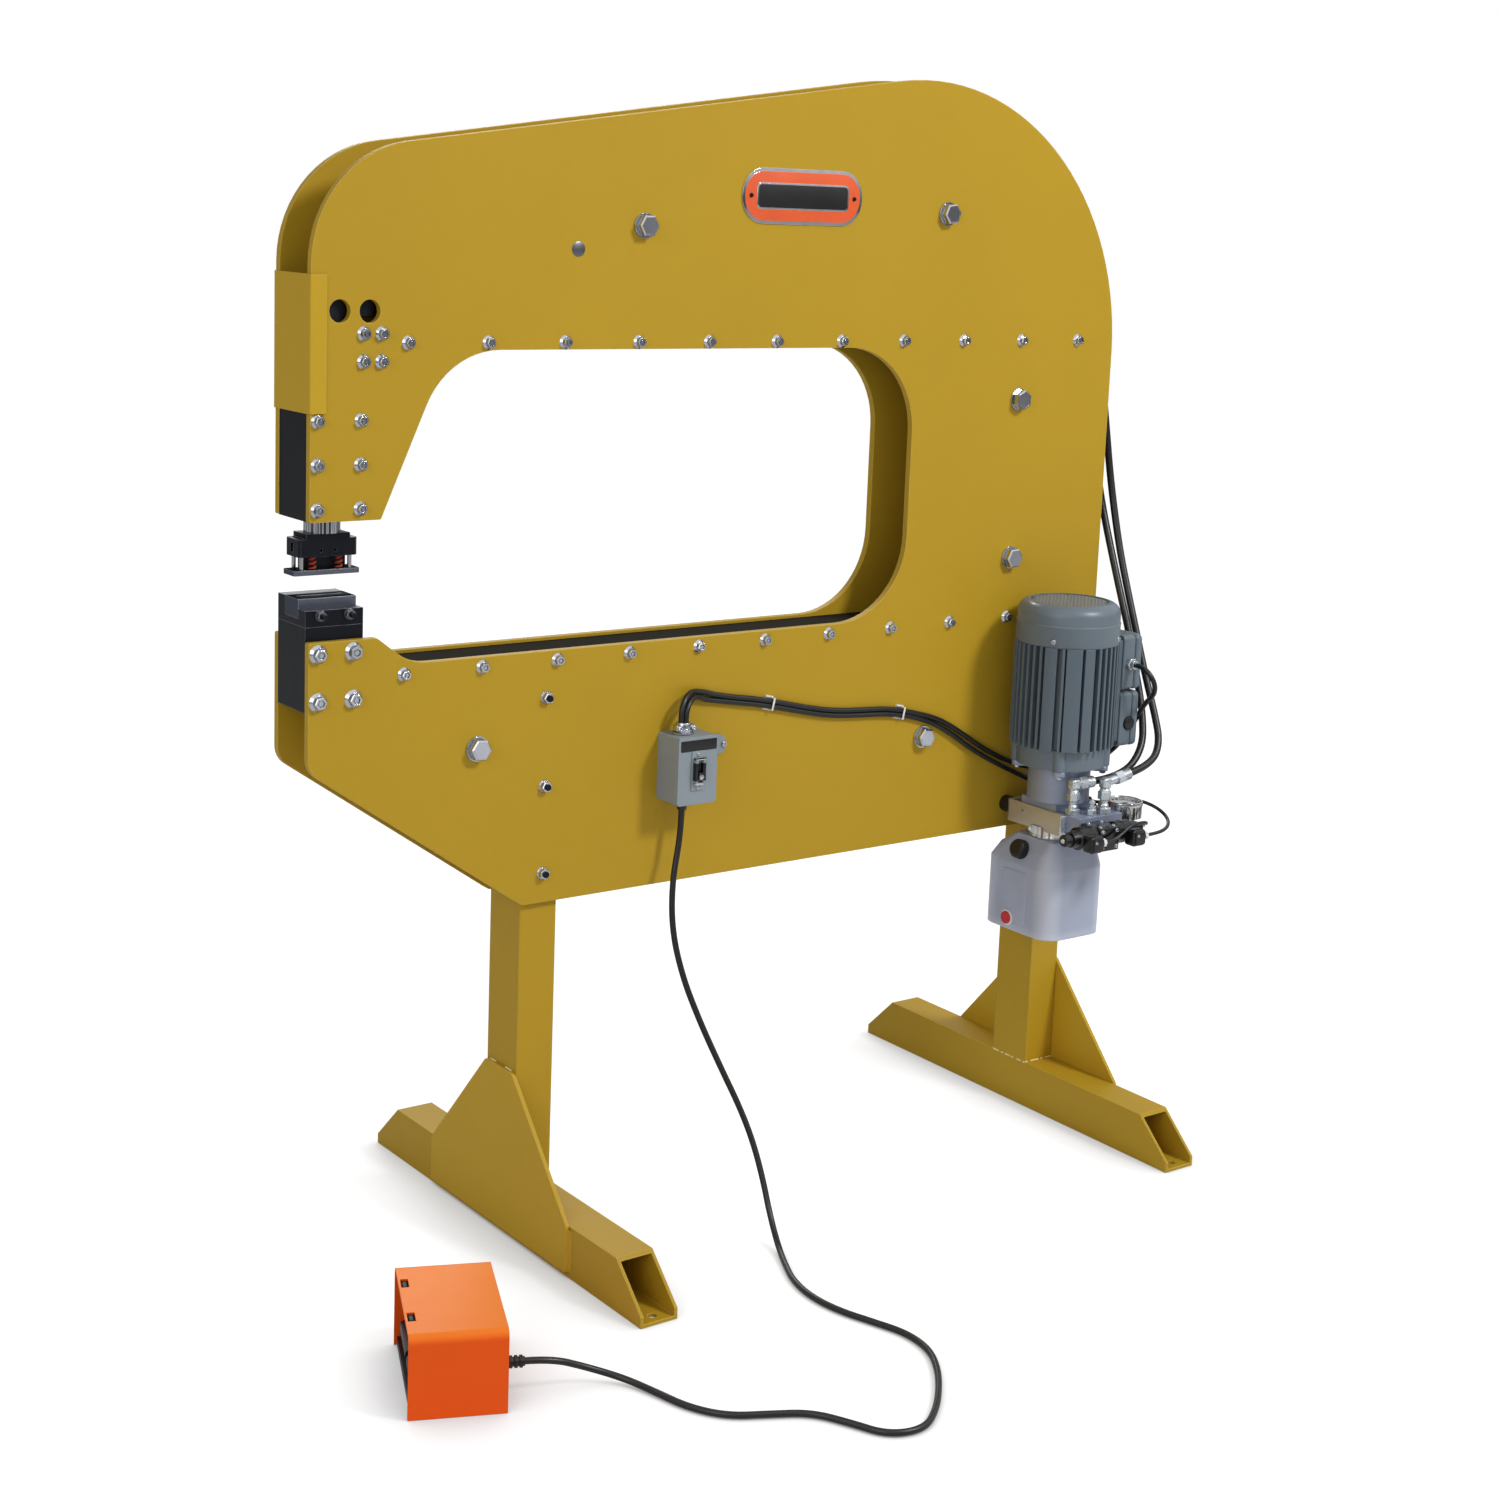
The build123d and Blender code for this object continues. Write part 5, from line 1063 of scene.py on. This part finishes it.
def capProfile(c):
    h, rim, skirt, gap, plug, deep = (c[key] for key in ("height", "rim", "skirt", "gap", "plug", "plugLength"))
    crown = [(0, h + gap), (11.5, h + gap), (12.2, h - 0.5), (14.6, h - 0.9), (skirt, h - 2.4)]
    return crown + [(skirt, 1.4), (rim, 1.0), (rim, gap), (plug, gap), (plug, -deep), (0, -deep)]


capPlace = frameOn((371.6, -134.0, 512.0), (-48, 0, 18))
capBody = dressed("black_plastic", lathe(capProfile(cap), capPlace, 40))
ribSpots = ring((0, 0), *cap["ribRing"], [360 * i / cap["ribs"] for i in range(cap["ribs"])])
capParts = capBody + [bars(cap["rib"], ribSpots, capPlace)]
addJoined("fillerCap", capParts, "black_plastic", ["filler_cap"], "cap")
plugAt = frameOn((364, -116, 390), (-1, 0, 0))
plugRing = [(6, 0), (13.8, 0), (13.8, 2.2), (13.2, 3), (11.2, 3.2), (6, 3.2), (6, 0)]
plugHead = [(0, -5.5), (6, -5.5), (6, 3), (11, 3), (11, 5.2), (10.2, 6), (0, 6)]
plugParts = dressed("white_plastic", lathe(plugRing, plugAt, 40))
plugParts += dressed("red_plastic", lathe(plugHead, plugAt, 40))
addJoined("drainPlug", plugParts, "red_plastic", ["drain_plug"])
addPiece("tankPanel", softBox((362.9, -160, 384), (365, -97, 476), 1.0, 9, "X", 4), "tank_white")
print("cap and tank trim made")

# valve: body, two coils with knurled nuts, two plugs
valve = {
    "coils": ((395, -1), (441, 1)), "y": -273, "z": 566, "plugs": (370, 466),
    "shell": [
        (0, 0), (18, 0), (19, 1.2), (19, 12), (18, 13), (18, 15), (19, 16), (19, 34), (17.4, 36.5), (15, 38),
        (13, 50), (0, 50)],
    "nut": [(0, 49.8), (9, 49.8), (10.4, 51.5), (10.4, 63), (9.2, 65), (5, 65.6), (0, 65.6)],
    "button": [(0, 67), (3.4, 66.8), (4.2, 65.4), (0, 65.4)],
    "neck": [(0, 11), (5.6, 11), (5.0, 12.4), (3.1, 12.5), (0, 12.5)],
    "frontScrews": [((x, -292, z), (0, -1, 0), 12) for x in (402, 434) for z in (549, 576)],
    "topScrews": [((x, y, 582), (0, 0, 1), 12) for x in (403, 433) for y in (-284, -256)],
}


def coilParts(near, side):
    axle = frameOn((near, valve["y"], valve["z"]), (side, 0, 0))
    made = dressed(glossBlack, lathe(valve["shell"], axle, 40, 30))
    made += dressed("black_plastic", lathe(valve["nut"], axle, 14, 15))
    return made + dressed("chrome", lathe(valve["button"], axle, 20))


def connectorParts(x):
    axle = frameOn((x + 13.5, -304, 563), (1, 0, 0))
    made = boxes(glossBlack, [
        ((x - 14, -314, 549), (x + 14, -291.4, 577), 4, 5), ((x - 11, -317, 552), (x + 11, -313.6, 574), 1.2, 4)])
    made += dressed(glossBlack, hexNut(8.2, 0, 4.5, axle, 8), lathe(valve["neck"], axle, 24))
    return made + dressed("white_plastic", hexNut(7.2, 4, 11.6, axle, 8))


addJoined("solenoidCoils", each(coilParts, valve["coils"]), "black_plastic", ["solenoid_coils"])
connectors = each(connectorParts, [(x,) for x in valve["plugs"]])
connectors.append(bolts("plug", [((x - 6, -317, 568), (0, -1, 0), 15) for x in valve["plugs"]]))
addJoined("coilConnectors", connectors, "black_plastic", ["coil_connectors"])
valveParts = boxes(glossBlack, [((395, -292, 542), (441, -246, 582), 2.5, 3)])
valveParts += [bolts("tiny", valve[key]) for key in ("frontScrews", "topScrews")]
addJoined("valveBody", valveParts, "steel", ["valve_body"])
print("valve made")

# hose fittings: two elbow towers on the manifold, a plug between them, two straight ends in the head
fitting = {
    "towers": [(405, -214.5, 42.0, 0.0), (460, -232, 55.6, 10.0)], "elbowZ": 640,
    "neck": [(0, 597), (8, 597), (8, 603), (6.6, 605), (6.6, 610), (8, 612), (8, 613), (0, 613)],
    "collar": [(0, 625), (8.8, 625), (8.8, 628), (7.4, 630), (7.4, 634), (0, 634)],
    "portEnd": [
        (0, 13), (9, 13), (9, 20), (8, 21), (8, 23), (9, 24), (9, 30), (8, 31), (8, 33), (9, 34), (9, 39), (0, 39)],
    "testPlug": [
        (0, 597), (6, 597), (6, 603), (4.4, 604), (4.4, 607), (5.6, 608), (5.6, 612), (3, 614), (0, 614)],
}


def towerParts(x, y, run, tilt):
    up = frameOn((x, y, 0), turn=20)
    made = [
        hexNut(12.2, 588, 598, up), lathe(fitting["neck"], up, 24), hexNut(11.2, 612, 626, up),
        lathe(fitting["collar"], up, 24), softBox((x - 8.5, y - 8.5, 630), (x + 9, y + 8.5, 649.5), 4.5, 5),
    ]
    ahead, rise = polar(1, tilt)
    out = frameOn((x, y, fitting["elbowZ"]), (ahead, 0, rise), 10)
    start = run - 30
    stem = [(0, 6), (7.6, 6), (7.6, start), (0, start)]
    crimp = [(0, run - 17), (9.2, run - 17), (9.9, run - 16)]
    for at in (run - 13, run - 9, run - 5):
        crimp += [(9.9, at), (8.8, at + 0.8), (8.8, at + 1.8), (9.9, at + 2.6)]
    crimp += [(9.9, run - 0.6), (9.2, run), (0, run)]
    made += [lathe(stem, out, 24), hexNut(11.4, start - 1, run - 16, out), lathe(crimp, out, 28)]
    return dressed(fittingZinc, *made)


def portParts(y):
    axle = frameOn((-829, y, 1420), (1, 0, 0))
    return dressed(fittingZinc, hexNut(12, 0, 14, axle), lathe(fitting["portEnd"], axle, 28))


fittings = each(towerParts, fitting["towers"]) + portParts(-20) + portParts(20)
plugUp = frameOn((432, -232, 0))
fittings += dressed(fittingZinc, hexNut(8.6, 588, 598, plugUp), lathe(fitting["testPlug"], plugUp, 20))
fittings += dressed("bronze", hexNut(7.0, 588, 600, frameOn((484, -204, 0))))
addJoined("hoseFittings", fittings, "zinc", ["hose_fittings"])
bracket = boxes(bracketZinc, [
    ((388, -79.5, 557), (476, -75.5, 587), 1), ((388, -215, 549), (392, -76, 587), 1),
    ((472, -150, 557), (476, -76, 587), 1)])
bracket += boxes(fittingZinc, [((379, -215.5, 549), (392, -212, 587.5), 1)])  # the turned end
addJoined("pumpBracket", bracket, "zinc", ["pump_bracket"])
addPiece("bracketScrew", bolts("tiny", [((388, -114.4, 573.4), (-1, 0, 0), 10)]), "zinc")
addPiece("portBlock", softBox((-829, -39.5, 1399), (-807, -32.5, 1436), 1.5), "black_steel")
print("fittings made")

# die clamps: nut with the screw's end standing out
clampSpots = [((x, -42.5, 990), (0, -1, 0), 15) for x in (-889, -845)]
addPiece("dieClamps", bolts("clamp", clampSpots, "steel", "black_steel"), "black_steel", ["die_clamp_screws"])
print("clamps made")

# switch box: plain dark strip, toggle surround, screws, clamp connector, glands
switch = {
    "screws": [((-291, -111.6, z), (0, -1, 0), 20) for z in (745, 693)],
    "earScrew": [((-206, -57.6, 741), (0, -1, 0), 10)],
    "plates": [
        ((-303, -111.6, 706.4), (-296.2, -109.8, 731.6), 0.3), ((-285.8, -111.6, 706.4), (-279, -109.8, 731.6), 0.3),
        ((-303, -111.6, 731), (-279, -109.8, 750), 0.5, 2), ((-303, -111.6, 688), (-279, -109.8, 707), 0.5, 2)],
    "rails": [
        ((-300.6, -120, 704), (-295.9, -110, 733), 1.6, 2, "X"),
        ((-286.1, -120, 704), (-281.4, -110, 733), 1.6, 2, "X")],
    "hoops": [((-301, -118, 737), (-281, -111, 742), 1.8, 3), ((-299, -117, 697), (-283, -111, 701.6), 1.5, 2)],
    "lever": (-291, -99, 719), "leverTilt": 20,
    "stem": [(0, -5), (4.2, -5), (4.2, 8), (3.4, 10), (3.9, 22), (0, 22)],
    "paddle": [((-4.5, -6, 12), (4.5, 6, 22.4), 1.6, 2, "X")],
    "tip": [(0, 21.5), (4.1, 21.5), (4.4, 23), (4.0, 25), (2.4, 26.4), (0, 26.8)],
}
gland = {
    "topRing": [(0, 3), (14, 3), (14, 8), (12, 9), (12, 16), (11, 18), (0, 18)],
    "saddle": [((-317, -90, 776), (-284, -74, 787.5), 3, 5, "Z")],
    "screws": [((x, -90, 782), (0, -1, 0), 10) for x in (-313, -288)],
    "lowNeck": [(0, 5), (8, 5), (7, 12), (0, 12)],
    "sideNeck": [(0, 7), (8.8, 7), (7.6, 13), (0, 13)],
}
clip = {
    "spots": [(-120, 797.1, 12.1), (150, 756.3, 11.2)],
    "parts": [
        ((-9, -1.6, -11), (9, 0, 11), 0.4, 2), ((2.5, -11, -9.4), (6.0, -9.7, 9.4), 0.5),
        ((2.5, -11, 8.7), (6.0, 0, 10.4), 0.5), ((2.5, -11, -10.4), (6.0, 0, -8.7), 0.5),
        ((-9, -4.5, 9.5), (5.5, 0, 12.5), 0.6)],
}


def clipParts(x, z, slope):
    place = frameOn((x, -faceY, z)) @ Matrix.Rotation(math.radians(slope), 4, "Y")
    return boxes("white_plastic", clip["parts"], place)


addPiece("coverStrip", softBox((-323, -110.7, 750), (-257, -109.9, 767), 0.3, 1.5), "black_plastic")
switchScrews = [bolts("tiny", switch["screws"]), bolts("small", switch["earScrew"])]
addJoined("switchScrews", switchScrews, "zinc")
surroundParts = boxes("box_grey", switch["plates"]) + boxes(glossBlack, switch["rails"])
addJoined("toggleSurround", surroundParts + boxes("chrome", switch["hoops"]), "black_plastic")
leverAt = frameOn(switch["lever"], (0, *polar(-1, switch["leverTilt"])))
leverParts = dressed(glossBlack, lathe(switch["stem"], leverAt, 24)) + boxes(glossBlack, switch["paddle"], leverAt)
leverParts += dressed("chrome", lathe(switch["tip"], leverAt, 24))
addJoined("toggleLever", leverParts, "chrome", ["toggle_lever"], "toggle")
topAt = frameOn((-300.5, -82, 772))
lowAt = frameOn((-300, -84, 666), (0, 0, -1))
sideAt = frameOn((540, -193, 829), (0, -1, 0))
glandParts = dressed("zinc", hexNut(17, 0, 4, topAt, 8)) + boxes("zinc", gland["saddle"])
glandParts += dressed("zinc", lathe(gland["topRing"], topAt, 32)) + [bolts("small", gland["screws"])]
glandParts += dressed(glossBlack, hexNut(9.4, 0, 6, lowAt), lathe(gland["lowNeck"], lowAt, 24))
glandParts += dressed(fittingZinc, hexNut(11, 0, 7.8, sideAt), lathe(gland["sideNeck"], sideAt, 24))
addJoined("cableGlands", glandParts, "zinc", ["cable_glands"])
addJoined("cableClips", each(clipParts, clip["spots"]), "white_plastic", ["cable_clips"])
print("switch made")

# foot switch: sloping treadles with ribs, latch strips in the slots
footPlace = Matrix.Translation(Vector((-855, -375, 0)) * mm) @ Matrix.Rotation(math.radians(-23.3), 4, "Z")
treadle = {
    "outline": [
        (-57, 27), (-59, 30), (-59, 36), (-57.5, 39), (-54, 40.5), (8, 49), (14, 50), (19.7, 47.7), (22, 42),
        (19.7, 36.3), (14, 34), (8.3, 36.3), (-44, 31), (-48, 28), (-52, 26.5)],
    "ribs": 7, "first": (-50, 41.4), "step": (8.5, 1.165), "lean": (-0.136, 0, 1), "rib": (3, 2.2), "margin": 8,
}


def addTreadle(t, name, low, high, node):
    board = prism(t["outline"], low, high, footPlace, "Y", 30)
    spots = []
    for i in range(t["ribs"]):
        u, z = (a + b * i for a, b in zip(t["first"], t["step"]))
        spots.append(((u, (low + high) / 2, z), t["lean"], 0))
    ribs = bars((t["rib"][0], high - low - t["margin"], t["rib"][1]), spots, footPlace)
    addJoined(name, dressed("black_plastic", board) + [ribs], "black_plastic", [node], node)


addTreadle(treadle, "leftTreadle", 7, 93.5, "left_pedal")
addTreadle(treadle, "rightTreadle", -93.5, -7, "right_pedal")
latches = []
for v in (-50, 50):
    # painted shade: a dark bed under each latch for the slot's dark inside
    latches += boxes("dark_bar", [((-63, v - 14, 110.6), (-51, v + 14, 113), 0.4)], footPlace)
    latches += boxes("black_steel", [((-60.2, v - 8, 112.6), (-54, v + 8, 114.6), 0.8)], footPlace)
addJoined("guardLatches", latches, "black_steel")
print("foot switch trimmed")

# welds: ground corners at the gussets' ends, broken beads under the posts and over the gussets
weld = {
    "post": (528.0, 31.5, 42.5), "foot": 80.5, "gusset": (203.0, 6.0, 265.0), "bead": 1.6,
    "front": [(-42, -38), (-33, -22), (-13, -7), (-3, 9), (14, 19), (25, 40)],
    "side": [(-31, -25), (-19, 1), (6, 11), (17, 31)],
    "over": [(14, 0.6), (29, 0.4), (36, -3), (41.5, -10)], "stand": 1.2, "ground": (11, 75), "sink": (0.1, 0.3, 9),
}


def weldParts(w, side):
    x, half, gap = w["post"]
    wide, thick, top = w["gusset"]
    under, inset, reach = w["sink"]
    outer = side * (x + half)
    z = w["foot"]
    paths = []
    for face in (-half, half):
        paths += [[(side * x + face, a, z), (side * x + face, b, z)] for a, b in w["front"]]
    for face in (-gap, gap):
        paths += [[(side * x + a, face, z), (side * x + b, face, z)] for a, b in w["side"]]
    made = []
    for end in (-1, 1):
        paths.append([(outer + side * w["stand"], end * y, top + lift) for y, lift in w["over"]])
        near = end * (wide - inset)
        corner = [(outer + side * (thick - under), near), (outer, near), (outer, end * (wide + reach))]
        made += dressed(paintedLightYellow, prism(corner, *w["ground"]))
    return made + dressed(weldHighlight, *[tube(path, w["bead"]) for path in paths])


addJoined("weldBeads", weldParts(weld, -1) + weldParts(weld, 1), "yellow_paint")
print("welds laid")

# plain plate in a shape of its own, with two rivets; each layer is width, height, corner, low, high
badge = {
    "at": (-92.0, 1584.0), "edge": 0.5, "rivets": (-99, 99), "rivetLift": 2.4,
    "layers": [
        ((230, 84, 40, 0.0, 2.0), "chrome"),
        ((220, 74, 35, 1.6, 2.4), plastic("badgeOrange", tone(226, 92, 44), 0.35)),
        ((176, 40, 8, 2.0, 2.8), "chrome"),
        ((171, 35, 6, 2.4, 3.1), "black_plastic")],
}


def badgeLayer(width, height, corner, low, high):
    x, z = badge["at"]
    front = (x - width / 2, -faceY - high, z - height / 2)
    return softBox(front, (x + width / 2, -faceY - low, z + height / 2), badge["edge"], corner)


addJoined("badge", [oneFinish(badgeLayer(*row), material) for row, material in badge["layers"]], "chrome")
rivetY = -faceY - badge["rivetLift"]
rivets = [((badge["at"][0] + dx, rivetY, badge["at"][1]), (0, -1, 0), 0) for dx in badge["rivets"]]
addPiece("badgeRivets", bolts("tiny", rivets, "black_steel", "black_steel"), "black_steel")
plugProfile = [(0, 1.2), (9.4, 1.2), (11, 0.5), (11, -0.2), (0, -0.2)]
addPiece("platePlug", lathe(plugProfile, frameOn((-493, -faceY, 1498), (0, -1, 0)), 32), "steel")
sleeveProfile = [(4.2, 0), (7.5, 0), (7.5, 24), (4.2, 24), (4.2, 0)]
sleeveAt = frameOn((507, -150, 585), (0, 1, 0))
addPiece("cableSleeve", lathe(sleeveProfile, sleeveAt, 24), "black_rubber", ["control_cables"])
print("trim made")
